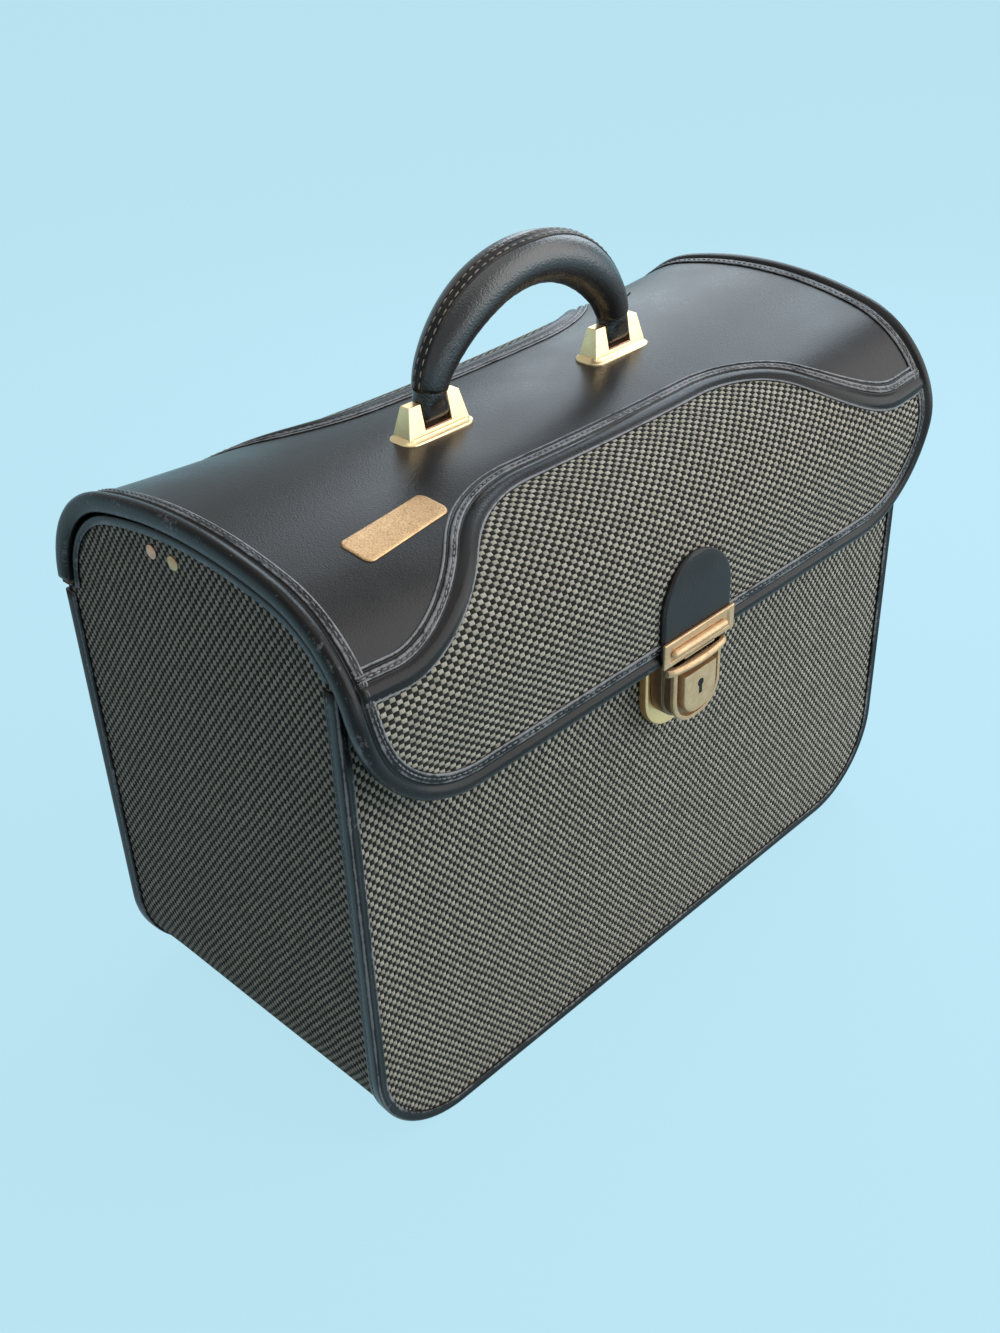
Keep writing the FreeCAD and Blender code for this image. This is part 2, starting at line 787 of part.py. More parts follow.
def lock_cam():
    """Disc with a finger and a hub, behind the keyhole."""
    front, back = [Vector(0, y, keyhole_level) for y in (cam_front, cam_back)]
    hub_end = back + AXIS_Y * hub_length
    disc = rod(cam_radius, front, back)
    hub = rod(hub_radius, back, hub_end)
    half = cam_finger_width / 2
    finger = box((-cam_finger_length, 0), (cam_front, cam_back),
                 (keyhole_level - half, keyhole_level + half))
    key = rod(keyhole_slot_width / 2, front - AXIS_Y * overrun, hub_end + AXIS_Y * overrun)
    return disc.fuse([hub, finger]).removeSplitter().cut(key)


# Lid pieces

def lid_layers():
    edge = binding_outside
    bottom = rim_height + hinge_gap
    post_holes = post_rivet_shanks(rivet_fit, lid_peak - wall_depth - overrun)
    flap_holes = hasp_rivet_holes(rivet_fit)
    skin = lid_sheet(0, tweed_thickness, edge, bottom)
    half_gap = glue_gap / 2
    leather = skin.common(between_seams(half_gap)).cut(post_holes)
    flap = skin.common(beyond_seam(-1, half_gap)).cut(flap_holes)
    back = skin.common(beyond_seam(1, half_gap))
    board = lid_sheet(skin_depth, skin_depth + board_thickness, edge, bottom)
    board = board.cut(post_holes + flap_holes)
    lining = lid_sheet(board_depth, wall_depth, edge, rim_height + hinge_strip_reach + glue_gap)
    pocket = hasp_backing_room(glue_gap)
    lining = lining.cut(post_holes + [pocket])
    return leather, flap, back, board, lining


def hasp_backing_room(gap):
    side = hasp_plate_width / 2 + gap
    rise = hasp_plate_height / 2 + gap
    return box((-side, side), (lid_front + board_depth, lid_front + wall_depth),
               (hasp_rivet_level - rise + binding_outside, hasp_rivet_level + rise + binding_outside))


def lid_binding():
    """Folded strip along both end arches and round the flap."""
    relief = rim_height + hinge_relief
    fold = lid_sheet(-binding_outside, lid_inside, 0, relief)
    window = lid_trim(lid_binding_reach, -overrun)
    slot = lid_band(-glue_gap, wall_depth + glue_gap).common(lid_trim(lid_binding_thickness, -overrun))
    return fold.cut(window).cut([slot] + hasp_rivet_holes(rivet_fit))


def seam_band(side):
    relief = rim_height + hinge_relief
    edge = lid_binding_reach + glue_gap
    sheet = lid_sheet(-glue_gap - seam_band_thickness, -glue_gap, edge, relief)
    return sheet.common(along_seam(side))


def nameplate():
    centre = Vector(-lid_half + nameplate_from_end, lid_middle - nameplate_from_middle, 0)
    x, y = nameplate_length / 2, nameplate_width / 2
    block = box((centre.x - x, centre.x + x), (centre.y - y, centre.y + y), (0, high))
    uprights = [edge for edge in block.Edges if edge.BoundBox.ZLength > high / 2]
    rounded = block.makeFillet(nameplate_corner, uprights)
    rounded.rotate(centre, AXIS_Z, nameplate_turn)
    return lid_band(-glue_gap - nameplate_thickness, -glue_gap).common(rounded)


def handle_post(place):
    """Flanged foot with two tapering cheeks, shaped to the top of the lid."""
    def level(length, width, height):
        x, y = length / 2, width / 2
        corners = [(-x, -y), (x, -y), (x, y), (-x, y)]
        points = [place + Vector(corner[0], corner[1], height) for corner in corners]
        return Part.makePolygon(points + [points[0]])
    top = post_seat + post_height
    tower = Part.makeLoft([level(post_base_length, post_base_width, post_seat),
                           level(post_top_length, post_top_width, top)], True, True)
    flange_x = post_base_length / 2 + post_flange_margin
    flange_y = post_base_width / 2 + post_flange_margin
    foot = box((place.x - flange_x, place.x + flange_x), (place.y - flange_y, place.y + flange_y),
               (post_seat - overrun, post_seat + post_flange_thickness))
    uprights = [edge for edge in foot.Edges if edge.BoundBox.ZLength > overrun]
    foot = foot.makeFillet(post_flange_round, uprights)
    slot_x = post_slot_width / 2
    slot = box((place.x - slot_x, place.x + slot_x), (place.y - far, place.y + far),
               (post_seat + post_slot_floor, top + overrun))
    pivot = place + AXIS_Z * pin_level
    reach = AXIS_X * post_base_length
    pin_hole = rod(pin_radius + rivet_fit, pivot - reach, pivot + reach)
    post = tower.fuse(foot).removeSplitter().cut([slot, pin_hole])
    return post.cut([under_lid(-glue_gap)] + post_rivet_shanks(rivet_fit, lid_peak - overrun))


def handle_pins():
    reach = (post_base_length + post_top_length) / 4
    pins = [rod(pin_radius, place + Vector(-reach, 0, pin_level), place + Vector(reach, 0, pin_level))
            for place in post_places]
    return Part.makeCompound(pins)


def post_plate_level():
    """Underside of the lid at the edge of a backing plate."""
    edge = post_plate_width / 2
    radius = crown_radius - wall_depth
    return crown_centre + math.sqrt(radius ** 2 - edge ** 2) - glue_gap


def post_backing_plates():
    top = post_plate_level()
    bottom = top - post_plate_thickness
    holes = post_rivet_shanks(rivet_fit, bottom - overrun)
    plates = []
    for place in post_places:
        x, y = post_plate_length / 2, post_plate_width / 2
        plate = box((place.x - x, place.x + x), (place.y - y, place.y + y), (bottom, top))
        plates.append(plate.cut(holes))
    return Part.makeCompound(plates)


def post_rivets():
    bottom = post_plate_level() - post_plate_thickness - glue_gap
    rivets = []
    for shank in post_rivet_shanks(0, bottom - post_rivet_head_height):
        foot = shank.BoundBox
        centre = Vector(foot.Center.x, foot.Center.y, bottom - post_rivet_head_height)
        head = rod(post_rivet_head_radius, centre, centre + AXIS_Z * post_rivet_head_height)
        rivets.append(shank.fuse(head).removeSplitter())
    return Part.makeCompound(rivets)


def hasp_tab():
    """Leather tab with a round top, recessed over the bound edge of the flap."""
    radius = tab_width / 2
    shoulder = flap_bottom + tab_height - radius
    start = tab_front
    left_foot, right_foot = [Vector(way * radius, start, flap_bottom) for way in (-1, 1)]
    left_top, right_top = [Vector(way * radius, start, shoulder) for way in (-1, 1)]
    outline = face([
        line(left_foot, right_foot),
        line(right_foot, right_top),
        arc(right_top, Vector(0, start, shoulder + radius), left_top),
        line(left_top, left_foot),
    ])
    solid = outline.extrude(Vector(0, far, 0)).cut(under_lid(-glue_gap))
    behind = lid_front + shoulder_radius
    solid = solid.common(box((-radius, radius), (start, behind), (0, high)))
    recess = box((-tab_width, tab_width), (lid_front - binding_outside - glue_gap, behind),
                 (0, flap_bottom + lid_binding_reach + glue_gap))
    return solid.cut([recess] + hasp_rivet_holes(rivet_fit))


def hasp_plate():
    """Brass hasp with its raised rib, the flange under the flap and the tongue."""
    side = hasp_width / 2
    plate = box((-side, side), (hasp_front, hasp_back), (flap_bottom, flap_bottom + hasp_height))
    corners = [edge for edge in plate.Edges if edge.BoundBox.YLength > hasp_thickness / 2
               and edge.BoundBox.ZMin > hasp_rivet_level]
    plate = plate.makeFillet(hasp_corner, corners)
    rib_half = rib_length / 2
    rib = box((-rib_half, rib_half), (hasp_front - rib_depth, hasp_front),
              (hasp_rivet_level - rib_height / 2, hasp_rivet_level + rib_height / 2))
    ridge = [edge for edge in rib.Edges if edge.BoundBox.YMax < hasp_front - rib_depth / 2]
    rib = rib.makeFillet(rib_round, ridge)
    flange_side = hasp_flange_width / 2
    apron = box((-flange_side, flange_side), (hasp_front, hasp_back), (flange_bottom, flap_bottom))
    flange = box((-flange_side, flange_side), (hasp_front, tongue_back), (flange_bottom, flange_top))
    tongue_side = tongue_width / 2
    tongue = box((-tongue_side, tongue_side), (tongue_front, tongue_back),
                 (flange_top - tongue_length, flange_top))
    whole = plate.fuse([rib, apron, flange, tongue]).removeSplitter()
    return whole.cut(hasp_rivet_holes(rivet_fit))


def hasp_rivets():
    return Part.makeCompound(hasp_rivet_holes(0))


def hasp_backing_plate():
    return hasp_backing_room(0).cut(hasp_rivet_holes(rivet_fit))


# Handle

def handle_path():
    """Centre line of the handle as a flat arch: straight ends, two shoulders and a crown."""
    rise = handle_rise - handle_straight
    half = post_spacing / 2
    spare = rise - handle_shoulder
    drop = ((half - handle_shoulder) ** 2 - spare ** 2) / (2 * spare)
    crown = rise + drop
    turn = math.atan2(half - handle_shoulder, drop)
    base = Vector(0, lid_middle, pin_level)
    level = base + AXIS_Z * handle_straight
    bend = math.pi / 2 - turn
    corners = []
    for way in (-1, 1):
        outward = AXIS_X * way
        centre = level + outward * (half - handle_shoulder)
        corners.append([base + outward * half] + [on_circle(centre, handle_shoulder, angle, outward, AXIS_Z)
                                                  for angle in (0, bend / 2, bend)])
    foot, low, middle, top = corners[0]
    last_foot, last_low, last_middle, last_top = corners[1]
    peak = level + AXIS_Z * (crown - drop)
    return Part.Wire([line(foot, low), arc(low, middle, top), arc(top, peak, last_top),
                      arc(last_top, last_middle, last_low), line(last_low, last_foot)])


def place_on(path, share):
    """Point and direction at a share of a path's length."""
    left = share * path.Length
    for edge in path.Edges:
        if left <= edge.Length:
            break
        left -= edge.Length
    parameter = edge.getParameterByLength(left)
    return edge.valueAt(parameter), edge.tangentAt(parameter)


def handle_core():
    """Steel bow with an eye at each end."""
    path = handle_path()
    foot = Vector(-post_spacing / 2, lid_middle, pin_level)
    section = Part.Wire(Part.makeCircle(core_radius, foot, AXIS_Z))
    bow = path.makePipeShell([section], True, False)
    half = eye_length / 2
    eyes = [rod(eye_radius, place + Vector(-half, 0, pin_level), place + Vector(half, 0, pin_level))
            for place in post_places]
    holes = [rod(pin_radius + pin_fit, place + Vector(-eye_length, 0, pin_level),
                 place + Vector(eye_length, 0, pin_level)) for place in post_places]
    return bow.fuse(eyes).removeSplitter().cut(holes)


GRIP_SECTIONS = 25


def handle_grip():
    """Leather grip, thickest at the crown, with a bore for the steel bow."""
    path = handle_path()
    first_share = grip_start / path.Length
    rings = []
    for index in range(GRIP_SECTIONS):
        share = first_share + (1 - 2 * first_share) * index / (GRIP_SECTIONS - 1)
        point, along = place_on(path, share)
        swell = math.sin(math.pi * index / (GRIP_SECTIONS - 1))
        radius = grip_end_radius + (grip_middle_radius - grip_end_radius) * swell
        rings.append(Part.Wire(Part.makeCircle(radius, point, along)))
    foot = Vector(-post_spacing / 2, lid_middle, pin_level)
    bore_section = Part.Wire(Part.makeCircle(core_radius + glue_gap, foot, AXIS_Z))
    bore = path.makePipeShell([bore_section], True, False)
    return Part.makeLoft(rings, True, False).cut(bore)


def all_pieces():
    region = body_region()
    front_tweed, front_board = front_panels()
    back_tweed, back_board = back_panels()
    gusset_tweed, left_board, right_board, bottom_board = gusset_pieces(region)
    front_binding, back_binding = body_bindings()
    left_arch = arch_binding()
    left_rivets = end_rivets()
    leather, flap_tweed, lid_back_tweed, lid_board, lid_lining = lid_layers()
    return {
        "front_tweed": front_tweed,
        "front_board": front_board,
        "back_tweed": back_tweed,
        "back_board": back_board,
        "gusset_tweed": gusset_tweed,
        "left_side_board": left_board,
        "right_side_board": right_board,
        "bottom_board": bottom_board,
        "front_binding": front_binding,
        "back_binding": back_binding,
        "left_arch_binding": left_arch,
        "right_arch_binding": mirrored(left_arch),
        "front_top_binding": front_top_binding(),
        "body_lining": body_lining(region),
        "hinge_strip": hinge_strip(),
        "left_end_rivets": left_rivets,
        "right_end_rivets": mirrored(left_rivets),
        "lock_base_plate": lock_base_plate(),
        "lock_guide": lock_guide(),
        "lock_backing_plate": lock_backing_plate(),
        "lock_rivets": lock_rivets(),
        "lock_spring": lock_spring(),
        "lock_slide": lock_slide(),
        "lock_keeper": lock_keeper(),
        "lock_cam": lock_cam(),
        "lid_leather": leather,
        "flap_tweed": flap_tweed,
        "lid_back_tweed": lid_back_tweed,
        "lid_board": lid_board,
        "lid_lining": lid_lining,
        "lid_binding": lid_binding(),
        "front_seam_band": seam_band(-1),
        "back_seam_band": seam_band(1),
        "nameplate": nameplate(),
        "left_handle_post": handle_post(post_places[0]),
        "right_handle_post": handle_post(post_places[1]),
        "handle_pins": handle_pins(),
        "post_backing_plates": post_backing_plates(),
        "post_rivets": post_rivets(),
        "hasp_tab": hasp_tab(),
        "hasp_plate": hasp_plate(),
        "hasp_rivets": hasp_rivets(),
        "hasp_backing_plate": hasp_backing_plate(),
        "handle_core": handle_core(),
        "handle_grip": handle_grip(),
    }


def write_pieces():
    os.makedirs("parts", exist_ok=True)
    for name, shape in all_pieces().items():
        moved = shape.copy()
        moved.translate(Vector(0, origin_shift, 0))
        moved.exportStep("parts/" + name + ".step")
        print(name, len(moved.Solids), "solids", round(moved.Volume), "mm3", "valid", moved.isValid())


write_pieces()
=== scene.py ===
import logging
import math
from dataclasses import dataclass
from enum import Enum
from typing import Callable, Dict, List, Optional, Sequence, Tuple, Union

import bmesh
import bpy
from mathutils import Matrix, Vector
from mathutils import noise as soft_noise


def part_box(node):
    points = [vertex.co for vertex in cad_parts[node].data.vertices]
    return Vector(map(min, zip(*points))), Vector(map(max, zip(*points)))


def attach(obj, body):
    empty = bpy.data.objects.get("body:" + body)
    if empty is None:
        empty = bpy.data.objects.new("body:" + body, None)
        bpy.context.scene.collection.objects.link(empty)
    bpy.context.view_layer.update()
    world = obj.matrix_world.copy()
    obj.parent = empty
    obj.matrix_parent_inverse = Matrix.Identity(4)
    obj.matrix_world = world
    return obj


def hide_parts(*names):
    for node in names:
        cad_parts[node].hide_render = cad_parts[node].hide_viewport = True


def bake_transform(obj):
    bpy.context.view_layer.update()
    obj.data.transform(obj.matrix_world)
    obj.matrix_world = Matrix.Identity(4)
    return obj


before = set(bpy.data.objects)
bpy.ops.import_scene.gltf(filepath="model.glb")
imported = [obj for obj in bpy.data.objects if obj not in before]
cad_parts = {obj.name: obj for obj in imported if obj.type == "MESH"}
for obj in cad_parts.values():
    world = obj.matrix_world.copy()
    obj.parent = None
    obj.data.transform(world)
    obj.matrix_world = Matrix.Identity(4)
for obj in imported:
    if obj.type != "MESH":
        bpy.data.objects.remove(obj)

# Looks of a tweed carrying case with a barrel-curved flap lid, a leather arch handle and a brass push lock.
# Sizes are in millimetres about the middle of the body, as in the part's source, and every mesh is moved
# into the row frame, in metres, when it is made.

LOG = logging.getLogger("tweed_case")
MM = 0.001
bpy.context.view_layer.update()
Colour = Tuple[float, float, float, float]
Pair = Tuple[float, float]
ProfilePoint = Tuple[float, float, float]
PathPoint = Tuple[Vector, Vector, float]
Piece = bpy.types.Object
Socket = bpy.types.NodeSocket
Tree = bpy.types.NodeTree
Node = bpy.types.Node


def solve(rule: Callable[[float], float], low: float, high: float) -> float:
    """Finds where a rising or falling rule crosses zero.

    Args:
        rule: function of one length.
        low: one end of the search.
        high: the other end of the search.

    Returns:
        The place of the crossing.
    """
    rising = rule(high) > rule(low)
    for _ in range(60):
        middle = (low + high) / 2
        if (rule(middle) > 0) == rising:
            high = middle
        else:
            low = middle
    return (low + high) / 2


def spread(low: float, high: float, count: int) -> List[float]:
    """Evenly spaced values from low to high, both included."""
    return [low + (high - low) * index / (count - 1) for index in range(count)]


def spread_to_ends(low: float, high: float, count: int) -> List[float]:
    """Values from low to high that lie closer together towards both ends."""
    middle, half = (low + high) / 2, (high - low) / 2
    return [middle - half * math.cos(math.pi * index / (count - 1)) for index in range(count)]


def smooth_step(value: float) -> float:
    """Goes gently from 0 to 1 as the value does."""
    held = min(max(value, 0.0), 1.0)
    return held * held * (3 - 2 * held)


def measured(places: List[Tuple[Vector, Vector]]) -> List[PathPoint]:
    """Adds to each place and direction of a path its length from the start."""
    path, run = [], 0.0
    for index, (place, way) in enumerate(places):
        run += (place - places[index - 1][0]).length if index else 0.0
        path.append((place, way, run))
    return path


def mirrored(places: List[Tuple[Vector, Vector]]) -> List[Tuple[Vector, Vector]]:
    """The left half of a path, turned into its right half."""
    flip = Vector((-1, 1, 1))
    return [(place * flip, way * flip) for place, way in reversed(places)]


def marks(runs: Sequence[float], start: float, pitch: float) -> List[Tuple[int, float]]:
    """Evenly spaced marks along a path.

    Args:
        runs: length of the path at each of its points.
        start: length at the first mark.
        pitch: length from mark to mark.

    Returns:
        For each mark, the number of the point before it and its share of the way to the next.
    """
    found, target = [], start
    for index, (here, there) in enumerate(zip(runs, runs[1:])):
        while target <= there:
            found.append((index, (target - here) / (there - here)))
            target += pitch
    return found


@dataclass(frozen=True)
class CaseSizes:
    """Sizes of the body that every sub-assembly shares."""

    width: float = 400.0
    depth: float = 194.0
    corner_radius: float = 51.0
    rim_height: float = 240.0
    front_height: float = 252.0
    tweed: float = 1.2
    board: float = 3.0
    lining: float = 0.8
    binding: float = 1.5
    glue_gap: float = 0.2
    hinge_gap: float = 0.5
    hinge_relief: float = 4.0

    @property
    def half_width(self) -> float:
        """Half of the body's length along X."""
        return self.width / 2

    @property
    def half_depth(self) -> float:
        """Half of the body's depth along Y."""
        return self.depth / 2

    @property
    def front_face(self) -> float:
        """Y of the front tweed."""
        return -self.half_depth + self.binding

    @property
    def back_face(self) -> float:
        """Y of the back tweed."""
        return self.half_depth - self.binding

    @property
    def side_inset(self) -> float:
        """Depth of the tweed below the outer edge of the bound sides."""
        return self.binding + self.glue_gap

    @property
    def wall_depth(self) -> float:
        """Depth of the lining's inner face below the tweed's outer face."""
        return self.tweed + self.board + self.lining + 2 * self.glue_gap


SIZES = CaseSizes()
ROW_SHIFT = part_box("back_tweed")[1].y / MM - SIZES.back_face


def to_row(point: Vector) -> Vector:
    """Moves a point of the body, in millimetres, into the row frame, in metres."""
    return Vector((point.x, point.y + ROW_SHIFT, point.z)) * MM


def placed(name: str, data: bpy.types.ID) -> Piece:
    """Puts an object with its data into the scene."""
    made = bpy.data.objects.new(name, data)
    bpy.context.scene.collection.objects.link(made)
    return made


class MeshBuild:
    """Collects the points and faces of one piece, with its cloth places and its wear, which also marks
    painted highlight lines.
    """

    def __init__(self) -> None:
        """Starts with nothing."""
        self.points: List[Vector] = []
        self.faces: List[Tuple[int, ...]] = []
        self.cloth: List[Tuple[float, float, float]] = []
        self.wear_and_highlight: List[float] = []

    def point(self, place: Vector, cloth: Pair = (0.0, 0.0), wear_and_highlight: float = 0.0) -> int:
        """Adds a point.

        Args:
            place: where it is, in millimetres about the body.
            cloth: its place on the flat cloth, in millimetres.
            wear_and_highlight: how worn it is, from 0 to 1; high values also paint highlight lines.

        Returns:
            The point's number.
        """
        self.points.append(to_row(place))
        self.cloth.append((cloth[0], cloth[1], 0.0))
        self.wear_and_highlight.append(wear_and_highlight)
        return len(self.points) - 1

    def strip(self, first: Sequence[int], second: Sequence[int], closed: bool) -> None:
        """Joins two rows of points with four-sided faces.

        Args:
            first: point numbers of the first row.
            second: point numbers of the second row.
            closed: whether the rows are rings.
        """
        count = len(first)
        for index in range(count if closed else count - 1):
            after = (index + 1) % count
            self.faces.append((first[index], first[after], second[after], second[index]))

    def sheet(self, outer: List[List[Vector]], inner: List[List[Vector]],
              cloth: Optional[List[List[Pair]]] = None, wear_and_highlight: Optional[List[List[float]]] = None) -> None:
        """Adds a closed sheet between two grids of points.

        Args:
            outer: rows of points of the outer face.
            inner: rows of points of the inner face.
            cloth: places on the flat cloth, one for each outer point.
            wear_and_highlight: wear of each outer point, which also marks painted highlight lines.
        """
        rows, columns = len(outer), len(outer[0])
        numbers: List[List[List[int]]] = []
        for grid in (outer, inner):
            made = []
            for i in range(rows):
                made.append([self.point(grid[i][j], cloth[i][j] if cloth else (0.0, 0.0),
                                        wear_and_highlight[i][j] if wear_and_highlight else 0.0) for j in range(columns)])
            numbers.append(made)
        top, under = numbers
        for i in range(rows - 1):
            self.strip(top[i], top[i + 1], False)
            self.strip(under[i + 1], under[i], False)
        border = ([(0, j) for j in range(columns)] + [(i, columns - 1) for i in range(1, rows)]
                  + [(rows - 1, j) for j in range(columns - 2, -1, -1)]
                  + [(i, 0) for i in range(rows - 2, 0, -1)])
        self.strip([under[i][j] for i, j in border], [top[i][j] for i, j in border], True)

    def sweep(self, sections: List[List[Vector]], wear_and_highlight: Optional[Sequence[float]] = None,
              along: Optional[Sequence[float]] = None, ring: bool = False) -> None:
        """Adds a closed bar through sections that have the same number of points.

        Args:
            sections: rings of points, one for each station of the path.
            wear_and_highlight: wear of each point of a section, which also marks painted highlight lines.
            along: length of the path at each station.
            ring: whether the path closes on itself.
        """
        rows = []
        for number, section in enumerate(sections):
            run = along[number] if along else 0.0
            rows.append([self.point(place, (run, float(index)), wear_and_highlight[index] if wear_and_highlight else 0.0)
                         for index, place in enumerate(section)])
        for first, second in zip(rows, rows[1:]):
            self.strip(first, second, True)
        if ring:
            self.strip(rows[-1], rows[0], True)
        else:
            self.faces.append(tuple(reversed(rows[0])))
            self.faces.append(tuple(rows[-1]))

    def stitch(self, centre: Vector, along: Vector, up: Vector, length: float, radius: float) -> None:
        """Adds one thread stitch that dips into the surface at both ends.

        Args:
            centre: middle of the stitch, on the surface.
            along: direction of the seam.
            up: outward direction of the surface.
            length: visible length of the stitch.
            radius: radius of the thread.
        """
        side = along.cross(up).normalized()
        sections = []
        for share in (-1.0, -0.82, -0.4, 0.0, 0.4, 0.82, 1.0):
            swell = radius * math.sqrt(max(1.0 - share ** 4, 0.12))
            middle = centre + along * (share * length / 2) + up * (radius * (0.55 - 0.9 * share * share))
            sections.append([middle + (side * math.cos(turn) + up * math.sin(turn)) * swell
                             for turn in (math.tau * step / 6 for step in range(6))])
        self.sweep(sections)

    def make(self, name: str, smooth: bool = True) -> Piece:
        """Makes the object.

        Args:
            name: name of the piece.
            smooth: whether its faces are shaded smooth.

        Returns:
            The new object, with its attributes.
        """
        mesh = bpy.data.meshes.new(name)
        mesh.from_pydata([tuple(place) for place in self.points], [], self.faces)
        cloth = mesh.attributes.new("cloth", "FLOAT_VECTOR", "POINT")
        cloth.data.foreach_set("vector", [value for place in self.cloth for value in place])
        wear_and_highlight = mesh.attributes.new("wear_and_highlight", "FLOAT", "POINT")
        wear_and_highlight.data.foreach_set("value", self.wear_and_highlight)
        work = bmesh.new()
        work.from_mesh(mesh)
        bmesh.ops.recalc_face_normals(work, faces=work.faces)
        work.to_mesh(mesh)
        work.free()
        mesh.polygons.foreach_set("use_smooth", [smooth] * len(mesh.polygons))
        mesh.update()
        return placed(name, mesh)


def swept(name: str, sections: List[List[Vector]], wear_and_highlight: Optional[Sequence[float]] = None,
          along: Optional[Sequence[float]] = None, smooth: bool = True) -> Piece:
    """Makes a piece of one closed bar, as MeshBuild.sweep takes it."""
    build = MeshBuild()
    build.sweep(sections, wear_and_highlight, along)
    return build.make(name, smooth)


def sheeted(name: str, outer: List[List[Vector]], inner: List[List[Vector]],
            cloth: Optional[List[List[Pair]]] = None, wear_and_highlight: Optional[List[List[float]]] = None) -> Piece:
    """Makes a piece of one closed sheet, as MeshBuild.sheet takes it."""
    build = MeshBuild()
    build.sheet(outer, inner, cloth, wear_and_highlight)
    return build.make(name)


def round_edges(piece: Piece, width: float, segments: int = 3, angle: float = 32.0) -> None:
    """Rounds the hard edges of a piece and keeps its flats flat.

    Args:
        piece: the object.
        width: width of the rounding, in millimetres.
        segments: faces across the rounding.
        angle: edges that bend by more than this many degrees are rounded.
    """
    bevel = piece.modifiers.new("rounded", "BEVEL")
    bevel.width = width * MM
    bevel.segments = segments
    bevel.limit_method = "ANGLE"
    bevel.angle_limit = math.radians(angle)
    bevel.harden_normals = False
    weighted = piece.modifiers.new("even_shading", "WEIGHTED_NORMAL")
    weighted.keep_sharp = True


# Finishes

Value = Union[float, Sequence[float], Socket]


class ShaderTree:
    """Adds and links nodes in one shader tree."""

    def __init__(self, tree: Tree) -> None:
        """Keeps the tree."""
        self.tree = tree

    def feed(self, socket: Socket, value: Value) -> None:
        """Links a socket or sets its value."""
        if isinstance(value, Socket):
            self.tree.links.new(value, socket)
        else:
            socket.default_value = value

    def fill(self, made: Node, inputs: Dict[Union[str, int], Value]) -> None:
        """Links or sets several inputs of a node."""
        for key, value in inputs.items():
            self.feed(made.inputs[key], value)

    def node(self, kind: str, inputs: Optional[Dict[Union[str, int], Value]] = None,
             **settings: object) -> Node:
        """Adds a node.

        Args:
            kind: the node's type.
            inputs: values or links for its inputs.
            settings: values for its own properties.

        Returns:
            The node.
        """
        made = self.tree.nodes.new(kind)
        for name, value in settings.items():
            setattr(made, name, value)
        self.fill(made, inputs or {})
        return made

    def math(self, operation: str, *values: Value) -> Socket:
        """Adds a sum or other operation and returns its result."""
        made = self.node("ShaderNodeMath", operation=operation)
        for socket, value in zip(made.inputs, values):
            self.feed(socket, value)
        return made.outputs[0]

    def between(self, value: Value, low: float, high: float, start: float = 0.0,
                end: float = 1.0) -> Socket:
        """Maps a range of values to start and end, held at both."""
        made = self.node("ShaderNodeMapRange", {"Value": value, "From Min": low, "From Max": high,
                                                "To Min": start, "To Max": end}, clamp=True)
        return made.outputs["Result"]

    def blend(self, share: Value, first: Value, second: Value) -> Socket:
        """Blends two colours."""
        made = self.node("ShaderNodeMix", {0: share, 6: first, 7: second}, data_type="RGBA")
        return made.outputs[2]

    def mottle(self, place: Value, scale: float, detail: float = 3.0, roughness: float = 0.55,
               distortion: float = 0.0) -> Socket:
        """Adds cloudy noise and returns its value."""
        made = self.node("ShaderNodeTexNoise", {"Vector": place, "Scale": scale, "Detail": detail,
                                                "Roughness": roughness, "Distortion": distortion})
        return made.outputs[0]

    def emboss(self, shader: Node, height: Value, distance: float, strength: float) -> None:
        """Gives a shader relief from a height."""
        bump = self.node("ShaderNodeBump", {"Height": height, "Distance": distance, "Strength": strength})
        self.feed(shader.inputs["Normal"], bump.outputs[0])

    def stretched(self, place: Value, scale: Sequence[float]) -> Socket:
        """Scales a place differently along each axis."""
        made = self.node("ShaderNodeVectorMath", {0: place, 1: scale}, operation="MULTIPLY")
        return made.outputs[0]


